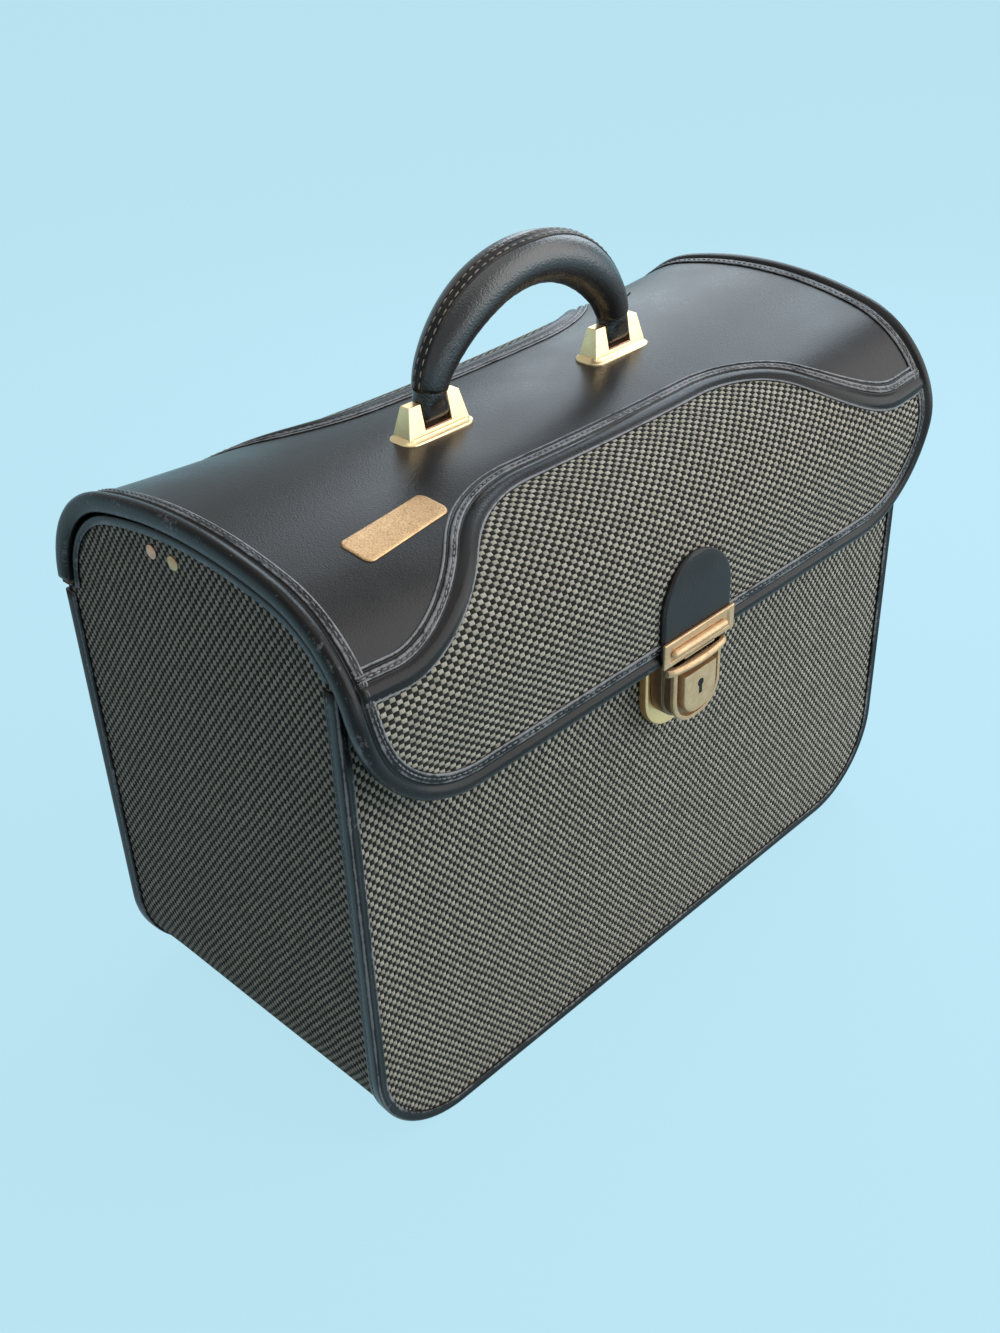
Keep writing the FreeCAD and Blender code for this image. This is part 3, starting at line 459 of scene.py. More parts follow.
class EffectGroups:
    """Shader groups that more than one finish uses, each built once."""

    def __init__(self) -> None:
        """Builds every group."""
        self.weave = self._weave()
        self.grain = self._grain()
        self.wear_and_highlight = self._wear_and_highlight()
        self.scuffs = self._scuffs()
        self.patina = self._patina()

    @staticmethod
    def _group(name: str, place: str, values: Sequence[str],
               outputs: Sequence[str]) -> Tuple[Tree, ShaderTree, Node, Node]:
        """Starts a group whose inputs are a place and values, and whose outputs are values.

        Args:
            name: name of the group.
            place: name of the place.
            values: names of the other inputs.
            outputs: names of the outputs.

        Returns:
            The group, its helper and its two end nodes.
        """
        group = bpy.data.node_groups.new(name, "ShaderNodeTree")
        group.interface.new_socket(name=place, in_out="INPUT", socket_type="NodeSocketVector")
        for way, titles in (("INPUT", values), ("OUTPUT", outputs)):
            for title in titles:
                group.interface.new_socket(name=title, in_out=way, socket_type="NodeSocketFloat")
        tree = ShaderTree(group)
        return group, tree, tree.node("NodeGroupInput"), tree.node("NodeGroupOutput")

    def _weave(self) -> Tree:
        """Plain weave of light and dark yarns, from a place on the flat cloth."""
        group, tree, start, end = self._group("plain_weave", "Cloth", ("Cell Width", "Cell Height"),
                                              ("Light", "Height", "Yarn"))
        place = start.outputs["Cloth"]
        wander = tree.node("ShaderNodeTexNoise", {"Vector": place, "Scale": 0.06, "Detail": 2.0})
        shift = tree.node("ShaderNodeVectorMath", {0: wander.outputs["Color"], 1: (0.5, 0.5, 0.5)},
                          operation="SUBTRACT")
        drift = tree.stretched(shift.outputs[0], (1.6, 1.6, 0.0))
        bent = tree.node("ShaderNodeVectorMath", {0: place, 1: drift}, operation="ADD")
        parts = tree.node("ShaderNodeSeparateXYZ", {0: bent.outputs[0]})
        across = tree.math("DIVIDE", parts.outputs[0], start.outputs["Cell Width"])
        upward = tree.math("DIVIDE", parts.outputs[1], start.outputs["Cell Height"])
        column, row = tree.math("FLOOR", across), tree.math("FLOOR", upward)
        over = tree.math("FLOORED_MODULO", tree.math("ADD", column, row), 2.0)

        def ridge(value: Socket) -> Socket:
            """One minus the square of the distance from a cell's middle."""
            inside = tree.math("FRACT", value)
            centred = tree.math("MULTIPLY_ADD", inside, 2.0, -1.0)
            return tree.math("SUBTRACT", 1.0, tree.math("MULTIPLY", centred, centred))

        ridge_across, ridge_upward = ridge(across), ridge(upward)
        weft = tree.math("MULTIPLY", tree.math("SQRT", ridge_upward),
                         tree.between(ridge_across, 0.0, 0.8, 0.35))
        warp = tree.math("MULTIPLY", tree.math("SQRT", ridge_across),
                         tree.between(ridge_upward, 0.0, 0.8, 0.35))
        low = tree.math("MULTIPLY", warp, tree.math("SUBTRACT", 1.0, over))
        height = tree.math("ADD", low, tree.math("MULTIPLY", weft, over))
        fibres = tree.mottle(place, 2.2, 2.0)
        yarn_place = tree.node("ShaderNodeCombineXYZ", {0: tree.math("MULTIPLY", column, 7.31),
                                                        1: tree.math("MULTIPLY", row, 3.77)})
        single = tree.node("ShaderNodeTexWhiteNoise", {"Vector": yarn_place.outputs[0]},
                           noise_dimensions="2D")
        yarn = tree.math("ADD", tree.math("MULTIPLY", fibres, 0.6),
                         tree.math("MULTIPLY", single.outputs[0], 0.4))
        raised = tree.math("MULTIPLY_ADD", fibres, 0.25, height)
        tree.fill(end, {"Light": over, "Height": raised, "Yarn": yarn})
        return group

    def _grain(self) -> Tree:
        """Fine leather grain with a slow mottle."""
        group, tree, start, end = self._group("leather_grain", "Place", ("Scale",), ("Height", "Mottle"))
        place, scale = start.outputs["Place"], start.outputs["Scale"]
        cells = tree.node("ShaderNodeTexVoronoi", {"Vector": place, "Scale": scale, "Smoothness": 0.6},
                          feature="SMOOTH_F1")
        slow = tree.node("ShaderNodeTexNoise", {"Vector": place, "Scale": 26.0, "Detail": 4.0})
        fine = tree.node("ShaderNodeTexNoise", {"Vector": place, "Scale": tree.math("MULTIPLY", scale, 2.1),
                                                "Detail": 2.0})
        height = tree.math("ADD", cells.outputs["Distance"], tree.math("MULTIPLY", fine.outputs[0], 0.5))
        tree.fill(end, {"Height": height, "Mottle": slow.outputs[0]})
        return group

    def _wear_and_highlight(self) -> Tree:
        """Broken wear and painted highlight lines along edges, from the wear value of the mesh."""
        group, tree, start, end = self._group("edge_wear_and_highlight", "Place", ("Edge", "Amount"), ("Mask",))
        coarse = tree.mottle(start.outputs["Place"], 55.0, 4.0, 0.65)
        fine = tree.mottle(start.outputs["Place"], 420.0, 3.0, 0.7)
        broken = tree.math("ADD", tree.math("MULTIPLY", coarse, 0.65), tree.math("MULTIPLY", fine, 0.45))
        reach = tree.math("MULTIPLY", start.outputs["Edge"], start.outputs["Amount"])
        level = tree.math("ADD", broken, tree.math("MULTIPLY_ADD", reach, 0.45, -0.78))
        tree.feed(end.inputs["Mask"], tree.between(level, 0.0, 0.16))
        return group

    def _scuffs(self) -> Tree:
        """Thin scratches and small pale nicks."""
        group, tree, start, end = self._group("scuffs", "Place", ("Amount",), ("Mask",))
        masks = []
        for scale, limit in (((90.0, 900.0, 300.0), 0.735), ((800.0, 110.0, 300.0), 0.745),
                             ((420.0, 420.0, 420.0), 0.79)):
            streak = tree.mottle(tree.stretched(start.outputs["Place"], scale), 1.0, 2.0, 0.5)
            masks.append(tree.between(streak, limit, limit + 0.05))
        patch = tree.between(tree.mottle(start.outputs["Place"], 24.0, 2.0), 0.48, 0.62)
        total = tree.math("MAXIMUM", tree.math("MAXIMUM", masks[0], masks[1]), masks[2])
        tree.feed(end.inputs["Mask"], tree.math("MULTIPLY", tree.math("MULTIPLY", total, patch),
                                                start.outputs["Amount"]))
        return group

    def _patina(self) -> Tree:
        """Cloudy ageing and fine speckle of plated metal."""
        group, tree, start, end = self._group("patina", "Place", (), ("Cloud", "Speckle"))
        cloud = tree.mottle(start.outputs["Place"], 150.0, 5.0, 0.65, 0.6)
        speckle = tree.mottle(start.outputs["Place"], 1400.0, 2.0, 0.6)
        tree.fill(end, {"Cloud": tree.between(cloud, 0.3, 0.72),
                        "Speckle": tree.between(speckle, 0.42, 0.72)})
        return group


GROUPS = EffectGroups()


class Finish:
    """A material that is built once, when it is first asked for."""

    title: str = "finish"
    _made: Dict[str, bpy.types.Material] = {}

    def material(self) -> bpy.types.Material:
        """Returns the material, building it on first use."""
        if self.title not in Finish._made:
            made = bpy.data.materials.new(self.title)
            made.use_nodes = True
            tree = ShaderTree(made.node_tree)
            shader = made.node_tree.nodes["Principled BSDF"]
            self.build(tree, shader)
            Finish._made[self.title] = made
        return Finish._made[self.title]

    def build(self, tree: ShaderTree, shader: Node) -> None:
        """Adds the finish's nodes; each finish has its own."""
        raise NotImplementedError

    @staticmethod
    def place(tree: ShaderTree) -> Socket:
        """Place on the piece at rest, in metres."""
        return tree.node("ShaderNodeTexCoord").outputs["Object"]

    @staticmethod
    def group(tree: ShaderTree, group: Tree, inputs: Dict[str, Value]) -> Node:
        """Places a shared effect with its own values."""
        made = tree.node("ShaderNodeGroup")
        made.node_tree = group
        tree.fill(made, inputs)
        return made

    @staticmethod
    def edge(tree: ShaderTree) -> Socket:
        """Wear value stored on the mesh, which also marks painted highlight lines."""
        return tree.node("ShaderNodeAttribute", attribute_name="wear_and_highlight").outputs["Fac"]


@dataclass(frozen=True)
class TweedFinish(Finish):
    """Two-tone plain weave."""

    title: str = "tweed"
    light: Colour = (0.43, 0.405, 0.335, 1.0)
    dark: Colour = (0.020, 0.021, 0.018, 1.0)
    cell_width: float = 2.14
    cell_height: float = 2.67
    relief: float = 0.0006

    def build(self, tree: ShaderTree, shader: Node) -> None:
        """Adds the weave's colours, shade and relief."""
        cloth = tree.node("ShaderNodeAttribute", attribute_name="cloth").outputs["Vector"]
        weave = self.group(tree, GROUPS.weave, {"Cloth": cloth, "Cell Width": self.cell_width,
                                                "Cell Height": self.cell_height})
        tone = tree.blend(weave.outputs["Light"], self.dark, self.light)
        shade = tree.between(weave.outputs["Height"], 0.0, 0.75, 0.38, 1.04)
        vary = tree.between(weave.outputs["Yarn"], 0.2, 0.8, 0.72, 1.18)
        level = tree.math("MULTIPLY", shade, vary)
        scaled = tree.node("ShaderNodeVectorMath", {0: tone, 3: level}, operation="SCALE")
        tree.fill(shader, {"Base Color": scaled.outputs[0], "Roughness": 0.85, "Specular IOR Level": 0.1,
                           "Sheen Weight": 0.08})
        tree.emboss(shader, weave.outputs["Height"], self.relief, 0.9)


@dataclass(frozen=True)
class LeatherFinish(Finish):
    """Smooth black leather with fine grain, worn edges and scuffs; the worn colour also paints highlight
    lines on edges.
    """

    title: str = "smooth_leather"
    base: Colour = (0.017, 0.016, 0.016, 1.0)
    worn_and_highlight: Colour = (0.15, 0.155, 0.165, 1.0)
    gloss: float = 0.3
    grain_scale: float = 1300.0
    grain_depth: float = 0.00012
    wear_and_highlight: float = 0.7
    scuffs: float = 0.5
    shine: float = 0.23

    def build(self, tree: ShaderTree, shader: Node) -> None:
        """Adds the grain, the mottle, the worn edges with their painted highlight lines, and the scuffs."""
        place = self.place(tree)
        grain = self.group(tree, GROUPS.grain, {"Place": place, "Scale": self.grain_scale})
        worn_and_highlight = self.group(tree, GROUPS.wear_and_highlight, {"Place": place, "Edge": self.edge(tree), "Amount": self.wear_and_highlight})
        scuffed = self.group(tree, GROUPS.scuffs, {"Place": place, "Amount": self.scuffs})
        # The worn mask paints pale highlight lines along edges as well as wear.
        mask = tree.math("MAXIMUM", tree.math("MULTIPLY", worn_and_highlight.outputs[0], 0.75), scuffed.outputs[0])
        faded = tuple(1.7 * value for value in self.base[:3]) + (1.0,)
        tone = tree.blend(tree.between(grain.outputs["Mottle"], 0.35, 0.7), self.base, faded)
        rough = tree.between(grain.outputs["Mottle"], 0.3, 0.75, self.gloss - 0.05, self.gloss + 0.09)
        tree.fill(shader, {"Base Color": tree.blend(mask, tone, self.worn_and_highlight),
                           "Roughness": tree.math("MULTIPLY_ADD", mask, 0.25, rough),
                           "Specular IOR Level": self.shine})
        tree.emboss(shader, grain.outputs["Height"], self.grain_depth, 0.55)


@dataclass(frozen=True)
class BrassFinish(Finish):
    """Aged brass-plated metal."""

    title: str = "aged_brass"
    bright: Colour = (0.69, 0.48, 0.285, 1.0)
    dull: Colour = (0.40, 0.26, 0.15, 1.0)
    gloss: float = 0.5
    dull_share: float = 0.55
    speckle_share: float = 0.2

    def build(self, tree: ShaderTree, shader: Node) -> None:
        """Adds the cloudy patina and its change of gloss."""
        place = self.place(tree)
        aged = self.group(tree, GROUPS.patina, {"Place": place})
        share = tree.math("MULTIPLY", aged.outputs["Cloud"], self.dull_share)
        spots = tree.math("MULTIPLY", aged.outputs["Speckle"], self.speckle_share)
        total = tree.math("MINIMUM", tree.math("ADD", share, spots), 1.0)
        tree.fill(shader, {"Base Color": tree.blend(total, self.bright, self.dull), "Metallic": 1.0,
                           "Roughness": tree.math("MULTIPLY_ADD", total, 0.2, self.gloss)})
        tree.emboss(shader, aged.outputs["Speckle"], 0.00003, 0.35)


@dataclass(frozen=True)
class ThreadFinish(Finish):
    """Twisted sewing thread."""

    title: str = "thread"
    base: Colour = (0.30, 0.30, 0.305, 1.0)
    shadow: Colour = (0.09, 0.09, 0.092, 1.0)

    def build(self, tree: ShaderTree, shader: Node) -> None:
        """Adds the twist and the dirt."""
        place = self.place(tree)
        twist = tree.mottle(tree.stretched(place, (1.0, 1.6, 2.3)), 1500.0, 1.0)
        dirt = tree.mottle(place, 70.0, 3.0)
        tone = tree.blend(tree.between(dirt, 0.35, 0.65), self.shadow, self.base)
        tree.fill(shader, {"Base Color": tone, "Roughness": 0.62})
        tree.emboss(shader, twist, 0.0001, 0.6)


@dataclass(frozen=True)
class LiningFinish(Finish):
    """Fine dark lining cloth."""

    title: str = "lining_cloth"
    base: Colour = (0.055, 0.05, 0.043, 1.0)
    thread: Colour = (0.028, 0.025, 0.022, 1.0)

    def build(self, tree: ShaderTree, shader: Node) -> None:
        """Adds a fine rib and soft stains."""
        place = self.place(tree)
        rib = tree.node("ShaderNodeTexWave", {"Vector": place, "Scale": 260.0, "Distortion": 1.2,
                                              "Detail": 1.0}, bands_direction="DIAGONAL")
        stain = tree.mottle(place, 18.0, 4.0)
        tone = tree.blend(rib.outputs["Fac"], self.thread, self.base)
        level = tree.between(stain, 0.3, 0.7, 0.75, 1.2)
        scaled = tree.node("ShaderNodeVectorMath", {0: tone, 3: level}, operation="SCALE")
        tree.fill(shader, {"Base Color": scaled.outputs[0], "Roughness": 0.9})
        tree.emboss(shader, rib.outputs["Fac"], 0.0002, 0.5)


@dataclass(frozen=True)
class BoardFinish(Finish):
    """Stiff brown fibre board."""

    title: str = "fibre_board"
    base: Colour = (0.16, 0.105, 0.06, 1.0)
    fleck: Colour = (0.3, 0.22, 0.14, 1.0)

    def build(self, tree: ShaderTree, shader: Node) -> None:
        """Adds flecks of fibre."""
        place = self.place(tree)
        flecks = tree.mottle(tree.stretched(place, (1.0, 0.4, 2.0)), 600.0, 3.0)
        tone = tree.blend(tree.between(flecks, 0.45, 0.75), self.base, self.fleck)
        tree.fill(shader, {"Base Color": tone, "Roughness": 0.85})
        tree.emboss(shader, flecks, 0.0002, 0.4)


@dataclass(frozen=True)
class SteelFinish(Finish):
    """Plain sheet steel with a light rust bloom."""

    title: str = "plain_steel"
    base: Colour = (0.47, 0.47, 0.46, 1.0)
    bloom: Colour = (0.27, 0.19, 0.13, 1.0)

    def build(self, tree: ShaderTree, shader: Node) -> None:
        """Adds drawing marks and the bloom."""
        place = self.place(tree)
        drawn = tree.mottle(tree.stretched(place, (40.0, 900.0, 900.0)), 1.0, 2.0)
        bloom = tree.between(tree.mottle(place, 90.0, 5.0, 0.65), 0.52, 0.75)
        tree.fill(shader, {"Base Color": tree.blend(bloom, self.base, self.bloom), "Metallic": 1.0,
                           "Roughness": tree.between(drawn, 0.3, 0.7, 0.28, 0.5)})


class Finishes(Enum):
    """Every finish of the case."""

    TWEED = TweedFinish()
    FLAP_TWEED = TweedFinish(title="flap_tweed", cell_width=2.86, cell_height=2.0)
    LEATHER = LeatherFinish()
    # Its pale worn colour paints thin highlight lines on folds and corners as well as wear.
    BINDING = LeatherFinish(title="binding_leather", base=(0.010, 0.0095, 0.0095, 1.0), gloss=0.26,
                            worn_and_highlight=(0.34, 0.345, 0.36, 1.0), grain_scale=1000.0, grain_depth=0.0001, wear_and_highlight=1.0,
                            scuffs=0.35, shine=0.2)
    HANDLE = LeatherFinish(title="handle_leather", base=(0.011, 0.0105, 0.011, 1.0), gloss=0.26,
                           grain_scale=1000.0, grain_depth=0.00026, wear_and_highlight=0.6, scuffs=0.5, shine=0.8)
    WELT = LeatherFinish(title="handle_welt", base=(0.012, 0.0115, 0.0115, 1.0), worn_and_highlight=(0.12, 0.09, 0.07, 1.0),
                         gloss=0.36, grain_scale=800.0, wear_and_highlight=0.7, scuffs=0.5)
    BRASS = BrassFinish()
    POST_BRASS = BrassFinish(title="post_brass", bright=(0.98, 0.76, 0.43, 1.0), dull=(0.80, 0.55, 0.28, 1.0),
                             gloss=0.3, dull_share=0.35)
    PLATE_BRASS = BrassFinish(title="plate_brass", bright=(1.0, 0.64, 0.31, 1.0),
                            dull=(0.78, 0.46, 0.21, 1.0), gloss=0.36, dull_share=0.35)
    # Dark brown brass that paints the shade on the slide's side walls and groove floor, along with tarnish.
    TARNISH_AND_SHADE = BrassFinish(title="tarnish_and_shade_brass", bright=(0.27, 0.17, 0.10, 1.0),
                            dull=(0.11, 0.07, 0.045, 1.0), gloss=0.42)
    COPPER = BrassFinish(title="copper", bright=(0.72, 0.42, 0.29, 1.0), dull=(0.36, 0.2, 0.13, 1.0),
                         gloss=0.38)
    NAMEPLATE = BrassFinish(title="speckled_gold", bright=(0.66, 0.42, 0.22, 1.0),
                            dull=(0.30, 0.18, 0.09, 1.0), gloss=0.36, dull_share=0.3, speckle_share=0.75)
    # A near-black finish that paints the shade inside the keyhole.
    KEYHOLE = LeatherFinish(title="keyhole_painted_shade", base=(0.004, 0.004, 0.004, 1.0), gloss=0.6,
                            wear_and_highlight=0.0, scuffs=0.0)
    THREAD = ThreadFinish()
    HANDLE_THREAD = ThreadFinish(title="handle_thread", base=(0.36, 0.325, 0.28, 1.0),
                                 shadow=(0.17, 0.15, 0.13, 1.0))
    LINING = LiningFinish()
    BOARD = BoardFinish()
    STEEL = SteelFinish()


def dress(piece: Piece, finish: Finishes) -> Piece:
    """Gives a piece one finish."""
    piece.data.materials.clear()
    piece.data.materials.append(finish.value.material())
    return piece


def settle(piece: Piece, body: str, finish: Finishes, slot: str, *nodes: str) -> Piece:
    """Dresses a piece, fastens it to its body and says which nodes it stands for.

    Args:
        piece: the new object.
        body: body that it moves with.
        finish: its finish.
        slot: material slot of the record; not used.
        nodes: nodes that it stands for.

    Returns:
        The same object.
    """
    dress(piece, finish)
    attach(piece, body)
    if nodes:
        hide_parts(*nodes)
    LOG.info("%s: %d points, on %s, for %s", piece.name, len(piece.data.vertices), body, nodes or "detail")
    return piece


# Body

@dataclass(frozen=True)
class Body:
    """Tweed panels, gusset, bound edges and end rivets of the case."""

    sizes: CaseSizes
    lid: "LidForm"
    slack: float = 0.5
    edge_rise: float = 10.0
    bead: float = 1.9
    front_leg: float = 5.5
    side_leg: float = 8.0
    stitch_length: float = 2.6
    stitch_pitch: float = 3.6
    stitch_radius: float = 0.34

    def build(self) -> None:
        """Makes and dresses every visible piece of the body."""
        sizes = self.sizes
        top_back = sizes.rim_height - sizes.hinge_gap
        settle(self.panel("front_cloth", sizes.front_face, 1.0, sizes.front_height), "body", Finishes.TWEED,
               "tweed", "front_tweed")
        settle(self.panel("back_cloth", sizes.back_face, -1.0, top_back), "body", Finishes.TWEED, "tweed",
               "back_tweed")
        settle(self.gusset(), "body", Finishes.TWEED, "tweed", "gusset_tweed")
        for name, side, top in (("front", 1.0, sizes.front_height + self.edge_rise),
                                ("back", -1.0, sizes.rim_height - sizes.hinge_relief)):
            settle(self.binding(name + "_edge", side, top), "body", Finishes.BINDING, "black_binding",
                   name + "_binding")
            settle(self.binding_stitches(name + "_edge_stitches", side, top), "body", Finishes.THREAD,
                   "black_binding")
        for name, side in (("left", -1.0), ("right", 1.0)):
            settle(self.arch(name + "_arch_edge", side), "body", Finishes.BINDING, "black_binding",
                   name + "_arch_binding")
            for metal, spot in ((Finishes.BRASS, 0), (Finishes.COPPER, 1)):
                settle(self.rivet(name + "_rivet_" + metal.name.lower(), side, spot), "body", metal, "brass",
                       name + "_end_rivets")

    def ripple(self, x: float, z: float, seed: float) -> float:
        """Depth of the slack of a cloth panel, in millimetres, never proud of the panel."""
        wave = soft_noise.noise(Vector((x * 0.011 + seed, z * 0.013, seed)))
        return self.slack * (0.5 + 0.5 * wave)

    def panel(self, name: str, face: float, inward: float, top: float) -> Piece:
        """A tweed panel with rounded lower corners.

        Args:
            name: name of the piece.
            face: Y of its outer face.
            inward: 1 where inwards is +Y, and -1 where it is -Y.
            top: height of its top edge.

        Returns:
            The panel.
        """
        sizes = self.sizes
        side = sizes.half_width - sizes.side_inset
        radius = sizes.corner_radius - sizes.side_inset
        outer, inner, cloth = [], [], []
        for x in spread_to_ends(-side, side, 90):
            beyond = max(abs(x) - (side - radius), 0.0)
            low = sizes.corner_radius - math.sqrt(max(radius ** 2 - beyond ** 2, 0.0))
            rows = spread(low, top, 50)
            depth = [self.ripple(x, z, inward) * smooth_step((z - low) / 60) for z in rows]
            outer.append([Vector((x, face + inward * dip, z)) for z, dip in zip(rows, depth)])
            inner.append([Vector((x, face + inward * sizes.tweed, z)) for z in rows])
            cloth.append([(x * inward, z) for z in rows])
        return sheeted(name, outer, inner, cloth)

    def edge_path(self, inset: float, top: float) -> List[PathPoint]:
        """The edge of the body from one top, down, under and up to the other.

        Args:
            inset: depth below the outer edge.
            top: height of both ends.

        Returns:
            Places, inward directions and lengths along the path.
        """
        sizes = self.sizes
        straight = sizes.half_width - sizes.corner_radius
        centre = Vector((-straight, 0, sizes.corner_radius))
        left = [(Vector((inset - sizes.half_width, 0, z)), Vector((1, 0, 0)))
                for z in spread(top, sizes.corner_radius, 40)[:-1]]
        for turn in spread(0.0, math.pi / 2, 22):
            inward = Vector((math.cos(turn), 0, math.sin(turn)))
            left.append((centre - inward * (sizes.corner_radius - inset), inward))
        bottom = [(Vector((x, 0, inset)), Vector((0, 0, 1))) for x in spread(-straight, straight, 40)[1:-1]]
        return measured(left + bottom + mirrored(left))

    def gusset_top(self, x: float, y: float) -> float:
        """Height of the arched top of the end wall at a place."""
        offset = self.lid.inside + self.lid.arch_clearance + self.lid.arch_thickness + self.sizes.glue_gap
        if y > self.lid.back - offset:
            return self.sizes.rim_height - self.sizes.hinge_gap
        return max(self.lid.height_at(x, y, -offset), self.sizes.rim_height - self.sizes.hinge_gap)

    def gusset(self) -> Piece:
        """One strip of tweed down the left end, under the case and up the right end."""
        sizes = self.sizes
        edge = sizes.half_depth - sizes.side_inset - sizes.tweed
        side = sizes.half_width - sizes.side_inset
        outer, inner, cloth = [], [], []
        for y in spread(-edge, edge, 44):
            top = self.gusset_top(side, y)
            path = self.edge_path(sizes.side_inset, top)
            middle = path[-1][2] / 2
            fade = smooth_step((edge - abs(y)) / 30)
            outer.append([place + inward * (self.ripple(y, run, 7.0) * fade) + Vector((0, y, 0))
                          for place, inward, run in path])
            inner.append([place + inward * sizes.tweed + Vector((0, y, 0)) for place, inward, run in path])
            cloth.append([(y, run - middle) for place, inward, run in path])
        return sheeted("gusset_cloth", outer, inner, cloth)

    def binding_profile(self) -> List[ProfilePoint]:
        """Section of the folded edge: depth below the side, depth below the face, and wear, which also paints
        highlight lines.
        """
        rest = self.sizes.binding + self.sizes.glue_gap / 2
        bead = self.bead
        # High wear values on the front leg's edge, the bead's corner and the side leg's folds paint thin
        # bright highlight lines as well as wear.
        section: List[ProfilePoint] = [
            (self.front_leg, rest, 0.1), (self.front_leg, 0.85, 0.5), (self.front_leg - 0.35, 0.45, 0.7),
            (self.front_leg - 1.1, 0.3, 0.5), (self.front_leg - 1.9, 0.42, 0.2),
            (self.front_leg - 2.7, 0.24, 0.3)]
        for turn in spread(1.5 * math.pi, math.pi, 9):
            section.append((bead + bead * math.cos(turn), bead + bead * math.sin(turn),
                            0.25 + 0.75 * math.sin(2 * turn) ** 6))
        section += [(0.1, self.side_leg - 3.2, 0.25), (0.48, self.side_leg - 2.1, 0.2),
                    (0.22, self.side_leg - 1.1, 0.4), (0.4, self.side_leg - 0.3, 0.6),
                    (0.85, self.side_leg, 0.5), (rest, self.side_leg, 0.1), (rest, rest, 0.0)]
        return section

    def binding(self, name: str, side: float, top: float) -> Piece:
        """The folded leather edge of the front or back.

        Args:
            name: name of the piece.
            side: 1 for the front and -1 for the back.
            top: height of its ends.

        Returns:
            The binding.
        """
        profile = self.binding_profile()
        sections, runs = [], []
        for place, inward, run in self.edge_path(0.0, top):
            corner = place + Vector((0, -side * self.sizes.half_depth, 0))
            sections.append([corner + inward * across + Vector((0, side * deep, 0))
                             for across, deep, wear_and_highlight in profile])
            runs.append(run)
        return swept(name, sections, [wear_and_highlight for across, deep, wear_and_highlight in profile], runs)

    def binding_stitches(self, name: str, side: float, top: float) -> Piece:
        """The row of stitches along the gusset leg of a folded edge."""
        path = self.edge_path(0.0, top)
        build = MeshBuild()
        for index, share in marks([run for place, inward, run in path], self.stitch_pitch, self.stitch_pitch):
            (first, inward, _), (second, _, _) = path[index:index + 2]
            middle = first.lerp(second, share) + inward * 0.62
            middle += Vector((0, side * (self.side_leg - 2.1 - self.sizes.half_depth), 0))
            build.stitch(middle, (second - first).normalized(), inward * -1, self.stitch_length,
                         self.stitch_radius)
        return build.make(name)

    def arch(self, name: str, side: float) -> Piece:
        """Folded strip over the arched top of one end.

        Args:
            name: name of the piece.
            side: -1 for the left end and 1 for the right.

        Returns:
            The strip.
        """
        sizes, lid = self.sizes, self.lid
        level = lid.inside + lid.arch_clearance
        wall = (sizes.half_width - sizes.binding, sizes.half_width - sizes.binding - sizes.wall_depth)
        thick, reach = lid.arch_thickness, lid.arch_reach
        # The wear of 0.8 on the lower outer edge paints its thin bright highlight line as well as wear.
        section = [(wall[0] + thick, reach, 0.8), (wall[0] + thick, 1.2, 0.1),
                   (wall[0] + 0.8 * thick, 0.4, 0.2), (wall[0] + 0.2, 0.0, 0.3), (wall[1] - 0.2, 0.0, 0.2),
                   (wall[1] - 0.8 * thick, 0.4, 0.3),
                   (wall[1] - thick, 1.2, 0.2), (wall[1] - thick, reach, 0.0), (wall[1] - 0.05, reach, 0.0),
                   (wall[1] - 0.05, thick, 0.0), (wall[0] + 0.05, thick, 0.0), (wall[0] + 0.05, reach, 0.0)]
        edge = sizes.half_depth - sizes.binding - sizes.tweed - sizes.glue_gap
        front = solve(lambda run: lid.point(wall[0], run, -level).y + edge, 0.0, lid.curved_run)
        back = solve(lambda run: lid.point(wall[0], run, -level).z - sizes.rim_height - 1.0,
                     -lid.long_run, 0.0)
        sections = [[lid.point(side * across, run, -level - drop) for across, drop, wear_and_highlight in section]
                    for run in spread(back, front, 90)]
        return swept(name, sections, [wear_and_highlight for across, drop, wear_and_highlight in section], spread(back, front, 90))

    def rivet(self, name: str, side: float, spot: int) -> Piece:
        """One domed rivet with a rolled rim, high on an end."""
        low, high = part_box("left_end_rivets")
        near, far = low.y / MM - ROW_SHIFT, high.y / MM - ROW_SHIFT
        washer = (high.z - low.z) / MM / 2
        centre = Vector((side * (self.sizes.half_width - self.sizes.side_inset + 0.1),
                         (near + washer, far - washer)[spot], (low.z + high.z) / MM / 2))
        rings = [(3.3, -0.4), (3.3, 0.35), (3.0, 0.6), (2.6, 0.62), (2.2, 0.95), (1.5, 1.25),
                 (0.8, 1.38), (0.2, 1.42)]
        outward = Vector((side, 0, 0))
        sections = [[centre + outward * rise + Vector((0, math.cos(turn), math.sin(turn))) * radius
                     for turn in (math.tau * step / 28 for step in range(28))] for radius, rise in rings]
        return swept(name, sections)


# Lid

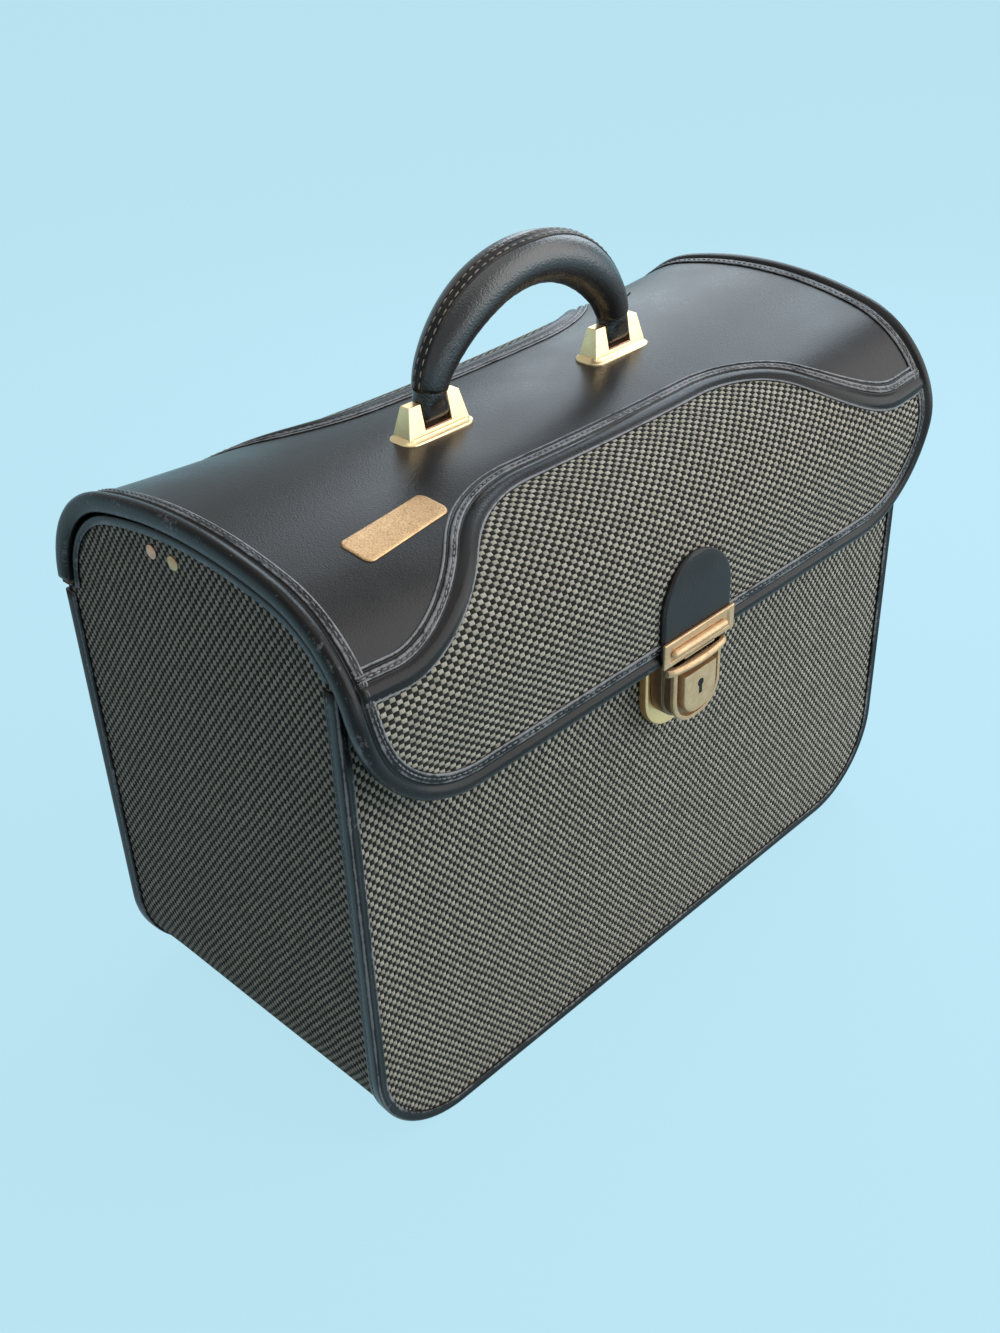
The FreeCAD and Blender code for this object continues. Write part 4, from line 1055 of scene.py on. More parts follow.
@dataclass(frozen=True)
class LidForm:
    """The barrel curve of the lid, and places on it measured along its skin."""

    sizes: CaseSizes
    peak: float = 296.0
    sag: float = 9.0
    crown_radius: float = 240.0
    shoulder_radius: float = 60.0
    stand_off: float = 14.0
    flap_bottom: float = 196.0
    flap_corner: float = 62.0
    overhang: float = 2.0
    binding: float = 1.2
    arch_clearance: float = 1.5
    arch_thickness: float = 1.2
    arch_reach: float = 4.2
    seam_middle_inset: float = 52.5
    seam_end_inset: float = 6.5
    seam_end_straight: float = 26.0
    seam_bend_run: float = 118.0

    @property
    def half(self) -> float:
        """Half of the lid's length along X."""
        return self.sizes.half_width + self.overhang

    @property
    def front(self) -> float:
        """Y of the flap's face."""
        return -self.sizes.half_depth - self.stand_off

    @property
    def back(self) -> float:
        """Y of the lid's back face."""
        return self.sizes.back_face

    @property
    def middle(self) -> float:
        """Y of the lid's middle line."""
        return (self.front + self.back) / 2

    @property
    def reach(self) -> float:
        """From the middle line to the flap's face."""
        return (self.back - self.front) / 2

    @property
    def inside(self) -> float:
        """Depth of the folded edge's inner face below the skin."""
        return self.sizes.wall_depth + self.sizes.glue_gap + self.binding

    @property
    def edge(self) -> float:
        """Inset of the skins from the lid's edge."""
        return self.binding + self.sizes.glue_gap

    @property
    def shift(self) -> float:
        """From the middle line to the centre of a shoulder."""
        return self.reach - self.shoulder_radius

    @property
    def crown_turn(self) -> float:
        """Half of the crown's angle."""
        return math.asin(self.shift / (self.crown_radius - self.shoulder_radius))

    @property
    def crown_run(self) -> float:
        """Length of half of the crown."""
        return self.crown_radius * self.crown_turn

    @property
    def curved_run(self) -> float:
        """Length from the peak to the end of a shoulder."""
        return self.crown_run + self.shoulder_radius * (math.pi / 2 - self.crown_turn)

    @property
    def long_run(self) -> float:
        """A length that reaches past the flap's edge."""
        return self.curved_run + self.sizes.rim_height / 2

    @property
    def sag_level(self) -> float:
        """Height of the axis of the lid's sag."""
        return self.peak + self.half ** 2 / (2 * self.sag) + self.sag / 2

    def section(self, run: float) -> Tuple[float, float, float, float]:
        """Place and outward direction at mid length.

        Args:
            run: length along the skin from the peak, positive towards the flap.

        Returns:
            Y, Z and the two parts of the outward direction.
        """
        side = -1.0 if run >= 0 else 1.0
        length = abs(run)
        if length <= self.crown_run:
            turn = length / self.crown_radius
            centre = self.peak - self.crown_radius
            return (self.middle + side * self.crown_radius * math.sin(turn),
                    centre + self.crown_radius * math.cos(turn), side * math.sin(turn), math.cos(turn))
        arm = self.crown_radius - self.shoulder_radius
        level = self.peak - self.crown_radius + arm * math.cos(self.crown_turn)
        if length <= self.curved_run:
            turn = self.crown_turn + (length - self.crown_run) / self.shoulder_radius
            return (self.middle + side * (self.shift + self.shoulder_radius * math.sin(turn)),
                    level + self.shoulder_radius * math.cos(turn), side * math.sin(turn), math.cos(turn))
        return self.middle + side * self.reach, level - (length - self.curved_run), side, 0.0

    def point(self, x: float, run: float, lift: float) -> Vector:
        """A place on the lid.

        Args:
            x: place along the case.
            run: length along the skin from the peak, positive towards the flap.
            lift: height above the skin, negative below it.

        Returns:
            The place.
        """
        y, z, out_y, out_z = self.section(run)
        y, z = y + out_y * lift, z + out_z * lift
        arm = self.sag_level - z
        return Vector((x, y, self.sag_level - math.sqrt(arm * arm - x * x)))

    def outward(self, x: float, run: float) -> Vector:
        """Outward direction of the skin at a place."""
        y, z, out_y, out_z = self.section(run)
        tilt = x / (self.sag_level - z)
        return Vector((-out_z * tilt, out_y, out_z * math.sqrt(1 - tilt * tilt))).normalized()

    def height_at(self, x: float, y: float, lift: float) -> float:
        """Height of the lid's surface over a place in plan, for a lift."""
        sign = 1.0 if y < self.middle else -1.0
        run = solve(lambda value: self.point(x, sign * value, lift).y - y, 0.0, self.curved_run)
        return self.point(x, sign * run, lift).z

    def run_at(self, y: float) -> float:
        """Length along the skin to a place in plan."""
        sign = 1.0 if y < self.middle else -1.0
        return sign * solve(lambda value: self.section(sign * value)[0] - y, 0.0, self.curved_run)

    def run_down(self, x: float, z: float, sign: float) -> float:
        """Length along the skin, on the flap (1) or the back (-1), to a height."""
        return sign * solve(lambda value: self.point(x, sign * value, 0.0).z - z, self.crown_run,
                            self.long_run)

    def flap_edge(self, x: float, inset: float) -> float:
        """Height of the flap's lower edge at a place along the case."""
        radius = self.flap_corner - inset
        side = self.half - inset
        beyond = min(max(abs(x) - (side - radius), 0.0), radius)
        return self.flap_bottom + self.flap_corner - math.sqrt(radius ** 2 - beyond ** 2)

    def seam(self, x: float, sign: float) -> float:
        """Length along the skin to the front (1) or back (-1) seam."""
        bend_end = self.half - self.seam_end_straight
        bend_start = bend_end - self.seam_bend_run
        near, far = self.reach - self.seam_middle_inset, self.reach - self.seam_end_inset
        drop = far - near
        radius = (self.seam_bend_run ** 2 + drop ** 2) / (4 * drop)
        place = min(max(abs(x), bend_start), bend_end)
        if place < (bend_start + bend_end) / 2:
            reach = near + radius - math.sqrt(radius ** 2 - (place - bend_start) ** 2)
        else:
            reach = far - radius + math.sqrt(radius ** 2 - (bend_end - place) ** 2)
        return self.run_at(self.middle - sign * reach)


@dataclass(frozen=True)
class Lid:
    """Leather top, tweed flap and back, seams, bound edge, nameplate and hasp tab."""

    sizes: CaseSizes
    form: LidForm
    stitch_length: float = 2.5
    stitch_pitch: float = 3.5
    stitch_radius: float = 0.34
    seam_half: float = 7.6
    seam_thread: float = -3.3
    rim_thread: float = 9.9
    plate_length: float = 54.0
    plate_width: float = 16.0
    plate_corner: float = 4.0
    plate_turn: float = 9.9
    plate_height: float = 0.78
    plate_edge: float = 0.5
    plate_foot: float = 0.25
    tab_width: float = 50.0
    tab_height: float = 50.0
    tab_lift: float = 2.8

    def build(self) -> None:
        """Makes and dresses every visible piece of the lid."""
        form = self.form
        back_edge = self.sizes.rim_height + self.sizes.hinge_gap
        settle(self.skin("leather_top", lambda x: form.seam(x, -1.0), lambda x: form.seam(x, 1.0), 60), "lid",
               Finishes.LEATHER, "black_leather", "lid_leather")
        settle(self.skin("flap_cloth", lambda x: form.seam(x, 1.0),
                         lambda x: form.run_down(x, form.flap_edge(x, form.edge), 1.0), 50), "lid",
               Finishes.FLAP_TWEED, "tweed", "flap_tweed")
        settle(self.skin("lid_back_cloth", lambda x: form.run_down(x, back_edge, -1.0),
                         lambda x: form.seam(x, -1.0), 30), "lid", Finishes.FLAP_TWEED, "tweed",
               "lid_back_tweed")
        for name, sign in (("front", 1.0), ("back", -1.0)):
            settle(self.seam_band(name + "_seam", sign), "lid", Finishes.BINDING, "black_binding",
                   name + "_seam_band")
            settle(self.seam_stitches(name + "_seam_stitches", sign), "lid", Finishes.THREAD, "black_binding")
        settle(self.rim(), "lid", Finishes.BINDING, "black_binding", "lid_binding")
        settle(self.rim_stitches(), "lid", Finishes.THREAD, "black_binding")
        settle(self.nameplate(), "lid", Finishes.NAMEPLATE, "brass", "nameplate")
        settle(self.tab(), "lid", Finishes.LEATHER, "black_leather", "hasp_tab")

    def skin(self, name: str, start: Callable[[float], float], end: Callable[[float], float],
             rows: int) -> Piece:
        """A skin of the lid between two lines.

        Args:
            name: name of the piece.
            start: length along the skin of its first edge.
            end: length along the skin of its last edge.
            rows: points from the first edge to the last.

        Returns:
            The skin.
        """
        side = self.form.half - self.form.edge
        outer, inner, cloth = [], [], []
        for x in spread_to_ends(-side, side, 150):
            runs = spread(start(x), end(x), rows)
            outer.append([self.form.point(x, run, 0.0) for run in runs])
            inner.append([self.form.point(x, run, -self.sizes.tweed) for run in runs])
            cloth.append([(x, run) for run in runs])
        return sheeted(name, outer, inner, cloth)

    def surface_sweep(self, path: List[Pair], turn: float, profile: List[ProfilePoint]) -> MeshBuild:
        """A bar along a line on the lid's skin.

        Args:
            path: places along the case and along the skin.
            turn: 1 or -1, the side that the profile's first value counts towards.
            profile: distance across the line, lift, and wear that also paints highlight lines.

        Returns:
            The bar, ready to be made.
        """
        sections, runs, run = [], [], 0.0
        for index, (x, length) in enumerate(path):
            before, after = path[max(index - 1, 0)], path[min(index + 1, len(path) - 1)]
            along = Vector((after[0] - before[0], after[1] - before[1])).normalized()
            across = Vector((along.y, -along.x)) * turn
            sections.append([self.form.point(x + across.x * reach, length + across.y * reach, lift)
                             for reach, lift, wear_and_highlight in profile])
            run += math.dist(path[index - 1], path[index]) if index else 0.0
            runs.append(run)
        build = MeshBuild()
        build.sweep(sections, [wear_and_highlight for reach, lift, wear_and_highlight in profile], runs)
        return build

    def surface_stitches(self, build: MeshBuild, path: List[Pair], turn: float, reach: float,
                         lift: float) -> None:
        """Adds a row of stitches beside a line on the lid's skin.

        Args:
            build: mesh that takes the stitches.
            path: the line.
            turn: side that the distance counts towards.
            reach: distance from the line.
            lift: height above the skin.
        """
        runs = [0.0]
        for first, second in zip(path, path[1:]):
            runs.append(runs[-1] + math.dist(first, second))
        for index, share in marks(runs, self.stitch_pitch, self.stitch_pitch):
            first, second = path[index:index + 2]
            along = Vector((second[0] - first[0], second[1] - first[1])).normalized()
            across = Vector((along.y, -along.x)) * (turn * reach)
            x = first[0] + (second[0] - first[0]) * share + across.x
            run = first[1] + (second[1] - first[1]) * share + across.y
            ahead = self.form.point(x + along.x, run + along.y, lift)
            centre = self.form.point(x, run, lift)
            build.stitch(centre, (ahead - centre).normalized(), self.form.outward(x, run),
                         self.stitch_length, self.stitch_radius)

    def seam_path(self, sign: float) -> List[Pair]:
        """Line of a seam from the left end to the right."""
        reach = self.form.half - self.form.edge - 6.0
        return [(x, self.form.seam(x, sign)) for x in spread(-reach, reach, 240)]

    def seam_band(self, name: str, sign: float) -> Piece:
        """Stitched band with a smooth piping beside the tweed."""
        half = self.seam_half
        # Wear values near 1 on both edges and on the stitched ridge paint bright highlight lines as well as
        # wear.
        shape = [(0.0, 0.02, 0.0), (0.0, 0.45, 0.8), (0.3, 0.75, 1.0), (0.9, 0.8, 0.7), (1.3, 0.55, 0.2),
                 (1.8, 0.12, 0.0), (2.3, 0.3, 0.1), (2.6, 0.85, 0.7), (3.1, 1.2, 0.9), (3.7, 1.22, 0.6),
                 (4.3, 0.98, 0.3), (4.9, 1.22, 0.6), (5.5, 1.15, 0.9), (5.9, 0.75, 0.3), (6.3, 0.4, 0.0),
                 (6.8, 0.6, 0.0), (7.7, 1.25, 0.05), (9.0, 1.7, 0.1), (10.5, 1.85, 0.1), (12.0, 1.65, 0.1),
                 (13.2, 1.15, 0.1), (14.0, 0.75, 0.3), (14.4, 0.85, 0.9), (14.9, 0.7, 1.0),
                 (2 * half, 0.02, 0.2)]
        profile = [(reach - half, lift, wear_and_highlight) for reach, lift, wear_and_highlight in shape]
        profile += [(reach, 0.02, 0.0) for reach in spread(half, -half, 7)[1:-1]]
        build = self.surface_sweep(self.seam_path(sign), -sign, profile)
        return build.make(name)

    def seam_stitches(self, name: str, sign: float) -> Piece:
        """The row of stitches along a seam."""
        build = MeshBuild()
        self.surface_stitches(build, self.seam_path(sign), -sign, self.seam_thread, 1.0)
        return build.make(name)

    def rim_path(self) -> List[Pair]:
        """Line of the lid's edge, from the back left round the flap to the back right."""
        form = self.form
        start = form.run_down(form.half, self.sizes.rim_height + self.sizes.hinge_relief, -1.0)
        centre = form.half - form.flap_corner
        level = form.flap_bottom + form.flap_corner
        corner = form.run_down(form.half, level, 1.0)
        left = [(-form.half, run) for run in spread(start, corner, 130)[:-1]]
        for turn in spread(0.0, math.pi / 2, 26):
            x = -centre - form.flap_corner * math.cos(turn)
            left.append((x, form.run_down(x, level - form.flap_corner * math.sin(turn), 1.0)))
        bottom = [(x, form.run_down(x, form.flap_bottom, 1.0)) for x in spread(-centre, centre, 80)[1:-1]]
        return left + bottom + [(-x, run) for x, run in reversed(left)]

    def rim(self) -> Piece:
        """Folded edge with a rolled bead, a groove and a stitched leg."""
        low = -self.form.inside
        rest = -self.sizes.wall_depth - 0.05
        edge = self.form.binding
        # The high wear values on the inner edge and on the ridge beside the groove paint thin bright
        # highlight lines as well as wear; the bead's crest carries less.
        profile = [(12.2, 0.05, 0.0), (12.2, 0.55, 0.7), (11.9, 0.9, 1.0), (11.0, 1.1, 0.5), (9.9, 0.85, 0.2),
                   (8.8, 1.12, 0.5), (8.0, 1.05, 0.8), (7.5, 0.7, 0.3), (7.0, 0.22, 0.0), (6.3, 0.25, 0.0),
                   (5.8, 0.8, 0.1), (5.0, 1.4, 0.1), (3.8, 1.9, 0.2), (2.5, 2.05, 0.3), (1.3, 1.8, 0.35),
                   (0.4, 1.1, 0.45), (-0.1, 0.35, 0.4),
                   (-0.3, -0.8, 0.4), (-0.25, -3.0, 0.3), (0.15, low + 1.3, 0.4), (0.8, low + 0.3, 0.4),
                   (1.8, low, 0.2), (7.4, low, 0.2), (7.8, low + 0.3, 0.2), (7.8, rest, 0.0),
                   (edge, rest, 0.0), (edge, 0.05, 0.0)]
        build = self.surface_sweep(self.rim_path(), 1.0, profile)
        return build.make("lid_edge")

    def rim_stitches(self) -> Piece:
        """The row of stitches on the leg of the lid's edge."""
        build = MeshBuild()
        self.surface_stitches(build, self.rim_path(), 1.0, self.rim_thread, 0.88)
        return build.make("lid_edge_stitches")

    def nameplate(self) -> Piece:
        """Bare gold plate with rounded corners and a soft edge, set a little askew."""
        low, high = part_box("nameplate")
        middle_x, middle_y = (low.x + high.x) / (2 * MM), (low.y + high.y) / (2 * MM) - ROW_SHIFT
        turn = math.radians(self.plate_turn)
        corner, foot = self.plate_corner, self.plate_foot
        outer, inner = [], []
        for across in spread_to_ends(-self.plate_width / 2, self.plate_width / 2, 22):
            inset = self.plate_width / 2 - abs(across)
            beyond = max(corner - inset, 0.0)
            half = self.plate_length / 2 - corner + math.sqrt(max(corner ** 2 - beyond ** 2, 0.0))
            tops, feet = [], []
            for along in (half * share for share in spread_to_ends(-1.0, 1.0, 40)):
                x = middle_x + along * math.cos(turn) - across * math.sin(turn)
                run = self.form.run_at(middle_y + along * math.sin(turn) + across * math.cos(turn))
                rise = smooth_step(min(inset, half - abs(along)) / self.plate_edge)
                tops.append(self.form.point(x, run, foot + (self.plate_height - foot) * rise))
                feet.append(self.form.point(x, run, 0.05))
            outer.append(tops)
            inner.append(feet)
        return sheeted("bare_nameplate", outer, inner)

    def tab(self) -> Piece:
        """Leather tab with a round top, under the hasp."""
        base = self.form.run_down(0.0, self.form.flap_bottom, 1.0)
        radius = self.tab_width / 2
        outer, inner, wear_and_highlight = [], [], []
        for share in spread_to_ends(0.0, 1.0, 46):
            rise = share * (self.tab_height - 0.05)
            beyond = max(rise - (self.tab_height - radius), 0.0)
            half = math.sqrt(max(radius ** 2 - beyond ** 2, 0.01))
            run = base - rise
            columns = [half * place for place in spread_to_ends(-1.0, 1.0, 34)]
            margins = [min(half - abs(x), self.tab_height - rise) for x in columns]
            outer.append([self.form.point(x, run, self.tab_lift - 0.8 * (1 - smooth_step(margin / 1.4)) ** 2)
                          for x, margin in zip(columns, margins)])
            inner.append([self.form.point(x, run, 0.1) for x in columns])
            wear_and_highlight.append([0.35 - 0.35 * smooth_step(margin / 2.0) for margin in margins])
        return sheeted("hasp_leather_tab", outer, inner, None, wear_and_highlight)


# Handle

@dataclass(frozen=True)
class Handle:
    """Leather arch, its welt and stitches, and the two brass posts."""

    form: LidForm
    spacing: float = 124.0
    pin_height: float = 10.5
    rise: float = 51.0
    straight: float = 4.0
    shoulder: float = 30.0
    start: float = 8.1
    end_radius: float = 8.2
    middle_radius: float = 12.3
    swell_share: float = 0.35
    end_round: float = 2.4
    welt_turn: float = -21.0
    welt_end_turn: float = -3.0
    welt_thread: float = 1.5
    stitch_start: float = 3.0
    stitch_pitch: float = 4.0
    stitch_length: float = 3.3
    stitch_radius: float = 0.36
    stitch_lift: float = 0.44
    loop_half: float = 7.75
    loop_radius: float = 5.65
    loop_inset: float = 0.5
    post_length: float = 38.0
    post_top: float = 31.0
    post_width: float = 12.0
    post_top_width: float = 5.6
    post_height: float = 16.0
    slot: float = 16.0
    slot_floor: float = 4.0
    flange: float = 2.5
    flange_corner: float = 6.0

    @property
    def centre(self) -> float:
        """Y of the handle."""
        return self.form.middle

    @property
    def seat(self) -> float:
        """Height of the lid under the posts."""
        return self.form.point(self.spacing / 2, self.form.run_at(self.form.middle), 0.0).z

    @property
    def pin(self) -> float:
        """Height of the pins."""
        return self.seat + self.pin_height

    def build(self) -> None:
        """Makes and dresses the grip and the posts."""
        settle(self.grip(), "handle", Finishes.HANDLE, "black_leather", "handle_grip", "handle_core")
        settle(self.welt(), "handle", Finishes.WELT, "black_leather")
        settle(self.welt_stitches(), "handle", Finishes.HANDLE_THREAD, "black_leather")
        settle(self.loose_thread(), "handle", Finishes.BINDING, "black_leather")
        for name, side in (("left", -1.0), ("right", 1.0)):
            settle(self.loop(name + "_handle_loop", side), "handle", Finishes.HANDLE, "black_leather")
            settle(self.post(name + "_post", side), "lid", Finishes.POST_BRASS, "brass",
                   name + "_handle_post")
            settle(self.slot_pad(name + "_post_floor", side), "lid", Finishes.COPPER, "brass")

    def path(self) -> List[PathPoint]:
        """Centre line of the handle.

        Returns:
            Places, outward directions and lengths from the left pin.
        """
        half = self.spacing / 2
        rise = self.rise - self.straight
        spare = rise - self.shoulder
        drop = ((half - self.shoulder) ** 2 - spare ** 2) / (2 * spare)
        turn = math.atan2(half - self.shoulder, drop)
        base = Vector((0, self.centre, self.pin + self.straight))
        left: List[Tuple[Vector, Vector]] = []
        for height in spread(0.0, self.straight, 4)[:-1]:
            left.append((Vector((-half, self.centre, self.pin + height)), Vector((-1, 0, 0))))
        for angle in spread(0.0, math.pi / 2 - turn, 26)[:-1]:
            outward = Vector((-math.cos(angle), 0, math.sin(angle)))
            left.append((base + Vector((self.shoulder - half, 0, 0)) + outward * self.shoulder, outward))
        for angle in spread(turn, 0.0, 34):
            outward = Vector((-math.sin(angle), 0, math.cos(angle)))
            left.append((base + Vector((0, 0, -drop)) + outward * (rise + drop), outward))
        return measured(left + mirrored(left[:-1]))

    def radius_at(self, run: float, total: float) -> float:
        """Radius of the grip at a length from the left pin."""
        reach = max(min(run, total - run) - self.start, 0.0)
        share = min(reach / (total - 2 * self.start) / self.swell_share, 1.0)
        radius = self.end_radius + (self.middle_radius - self.end_radius) * math.sin(math.pi / 2 * share)
        lost = max(1.0 - reach / self.end_round, 0.0)
        return radius - self.end_round * (1.0 - math.sqrt(1.0 - lost * lost))

    def stations(self) -> List[Tuple[Vector, Vector, float, float]]:
        """Stations of the grip with their radius: place, outward direction, length and radius."""
        path = self.path()
        total = path[-1][2]
        return [(place, outward, run, self.radius_at(run, total)) for place, outward, run in path
                if self.start <= run <= total - self.start]

    def grip(self) -> Piece:
        """Leather tube, thickest at the crown, creased on its inner side."""
        sections, runs = [], []
        steps = 48
        for place, outward, run, radius in self.stations():
            section = []
            for step in range(steps):
                turn = math.tau * step / steps
                inner = max(-math.cos(turn), 0.0)
                crease = 0.22 * inner * soft_noise.noise(Vector((run * 0.35, turn * 1.2, 3.0)))
                reach = radius * (1.0 - 0.03 * inner) + crease
                aside = Vector((0, reach * math.sin(turn), 0))
                section.append(place + outward * (reach * math.cos(turn)) + aside)
            sections.append(section)
            runs.append(run)
        wear_and_highlight = [max(math.sin(math.tau * step / steps - 0.3), 0.0) * 0.4 for step in range(steps)]
        return swept("leather_grip", sections, wear_and_highlight, runs)

    def welt_place(self, station: Tuple[Vector, Vector, float, float], turn: float, lift: float) -> Vector:
        """A place on the grip beside the middle of the welt."""
        place, outward, run, radius = station
        share = min(abs(place.x) * 2 / self.spacing, 1.0)
        angle = math.radians(self.welt_turn + (self.welt_end_turn - self.welt_turn) * share) + turn
        return place + (outward * math.cos(angle) + Vector((0, math.sin(angle), 0))) * (radius + lift)

    def welt(self) -> Piece:
        """Raised strip with a seam along its middle, on the outer back of the grip."""
        half = [(3.2, -0.4, 0.2), (3.1, 0.2, 0.6), (2.8, 0.5, 0.9), (2.2, 0.58, 0.6), (1.6, 0.42, 0.3),
                (1.0, 0.6, 0.6), (0.4, 0.55, 0.8)]
        profile = [(-reach, lift, wear_and_highlight) for reach, lift, wear_and_highlight in half] + [(0.0, 0.2, 0.2)] + half[::-1]
        sections = [[self.welt_place(station, reach / station[3], lift) for reach, lift, wear_and_highlight in profile]
                    for station in self.stations()]
        return swept("grip_welt", sections, [wear_and_highlight for reach, lift, wear_and_highlight in profile])

    def welt_stitches(self) -> Piece:
        """Two rows of stitches along the welt."""
        stations = self.stations()
        build = MeshBuild()
        runs = [station[2] for station in stations]
        for reach in (-self.welt_thread, self.welt_thread):
            for index, share in marks(runs, runs[0] + self.stitch_start, self.stitch_pitch):
                first, second = stations[index:index + 2]
                here = self.welt_place(first, reach / first[3], self.stitch_lift)
                there = self.welt_place(second, reach / second[3], self.stitch_lift)
                centre = here.lerp(there, share)
                up = (centre - first[0].lerp(second[0], share)).normalized()
                build.stitch(centre, (there - here).normalized(), up, self.stitch_length,
                             self.stitch_radius)
        return build.make("welt_stitches")

    def loose_thread(self) -> Piece:
        """A short loose end of thread near the right foot of the grip."""
        station = self.stations()[-10]
        root = self.welt_place(station, 0.2, 0.2)
        steps = [root + Vector((9.0 * share, 2.0 * math.sin(3 * share), -5.5 * math.sin(2.6 * share)))
                 for share in spread(0.0, 1.0, 12)]
        sections = []
        for index, place in enumerate(steps):
            along = (steps[min(index + 1, 11)] - steps[max(index - 1, 0)]).normalized()
            side = along.cross(Vector((0, 1, 0))).normalized()
            up = side.cross(along)
            sections.append([place + (side * math.cos(turn) + up * math.sin(turn)) * 0.4
                             for turn in (math.tau * step / 6 for step in range(6))])
        return swept("loose_thread", sections)

    def loop(self, name: str, side: float) -> Piece:
        """Leather loop of the handle's end round its pin.

        Args:
            name: name of the piece.
            side: -1 for the left end and 1 for the right.

        Returns:
            The loop.
        """
        wide, radius, grip = self.loop_half, self.loop_radius, self.end_radius - self.loop_inset
        sections = []

        def ring(centre: Vector, outward: Vector, deep: float, box: float) -> None:
            """Adds a section that is round where box is 0 and nearly square where it is 1."""
            power = 1.0 - 0.62 * box
            width = grip + (wide - grip) * box
            turns = [math.tau * step / 32 for step in range(32)]
            section = []
            for turn in turns:
                across = math.copysign(abs(math.cos(turn)) ** power, math.cos(turn)) * width
                depth = math.copysign(abs(math.sin(turn)) ** power, math.sin(turn)) * deep
                place = centre + outward * across + Vector((0, depth, 0))
                section.append(Vector((-side * place.x, place.y, place.z)))
            sections.append(section)

        foot = Vector((-self.spacing / 2, self.centre, self.pin))
        for turn in spread(-math.pi / 2, 0.0, 9)[:-1]:
            ring(foot + Vector((0, 0, radius * math.sin(turn))), Vector((-1, 0, 0)),
                 max(radius * math.cos(turn), 0.6), 1.0)
        for place, outward, run in self.path():
            if run <= self.start + 2.0:
                share = smooth_step(run / self.start)
                ring(place, outward, radius + (grip - radius) * share, 1.0 - share)
        return swept(name, sections)

    def post(self, name: str, side: float) -> Piece:
        """Flanged foot with two tapering cheeks.

        Args:
            name: name of the piece.
            side: -1 for the left post and 1 for the right.

        Returns:
            The post.
        """
        x = side * self.spacing / 2
        seat, sunk = self.seat, 1.6

        def width(height: float) -> float:
            """Half of the tower's width at a height."""
            share = height / self.post_height
            return (self.post_width + (self.post_top_width - self.post_width) * share) / 2

        foot, top, gap = self.post_length / 2, self.post_top / 2, self.slot / 2
        high = self.post_height
        corners = [(-foot, 0.0), (foot, 0.0), (top, high), (gap, high), (gap, self.slot_floor),
                   (-gap, self.slot_floor), (-gap, high), (-top, high)]
        build = MeshBuild()
        build.sweep([[Vector((x + across, self.centre + way * width(height), seat + height))
                      for across, height in corners] for way in (-1.0, 1.0)])
        flange_x, flange_y = foot + self.flange, self.post_width / 2 + self.flange
        rows = []
        for inset, height in ((0.0, -sunk), (0.0, 0.5), (0.3, 0.9), (1.0, 1.25), (1.8, 1.8), (2.4, 2.7)):
            ring = self.rounded_ring(flange_x - inset, flange_y - inset, self.flange_corner - inset)
            rows.append([Vector((x + px, self.centre + py, seat + height)) for px, py in ring])
        build.sweep(rows)
        piece = build.make(name)
        round_edges(piece, 0.55)
        return piece

    @staticmethod
    def rounded_ring(half_x: float, half_y: float, corner: float) -> List[Pair]:
        """Outline of a rectangle with rounded corners, about its middle."""
        ring = []
        for way_x, way_y, first in ((1, 1, 0.0), (-1, 1, 0.5), (-1, -1, 1.0), (1, -1, 1.5)):
            for turn in spread(first * math.pi, (first + 0.5) * math.pi, 6):
                ring.append((way_x * (half_x - corner) + corner * math.cos(turn),
                             way_y * (half_y - corner) + corner * math.sin(turn)))
        return ring

    def slot_pad(self, name: str, side: float) -> Piece:
        """Coppery strip on the floor of a post's slot."""
        x = side * self.spacing / 2
        half, reach = self.slot / 2 - 0.15, self.post_width / 2 - 0.9
        rows = []
        for inset, height in ((0.0, 0.0), (0.0, 0.35), (0.3, 0.55)):
            wide, deep, level = half - inset, reach - inset, self.seat + self.slot_floor + height
            ring = [(-wide, -deep), (wide, -deep), (wide, deep), (-wide, deep)]
            rows.append([Vector((x + px, self.centre + py, level)) for px, py in ring])
        return swept(name, rows, smooth=False)


# Lock

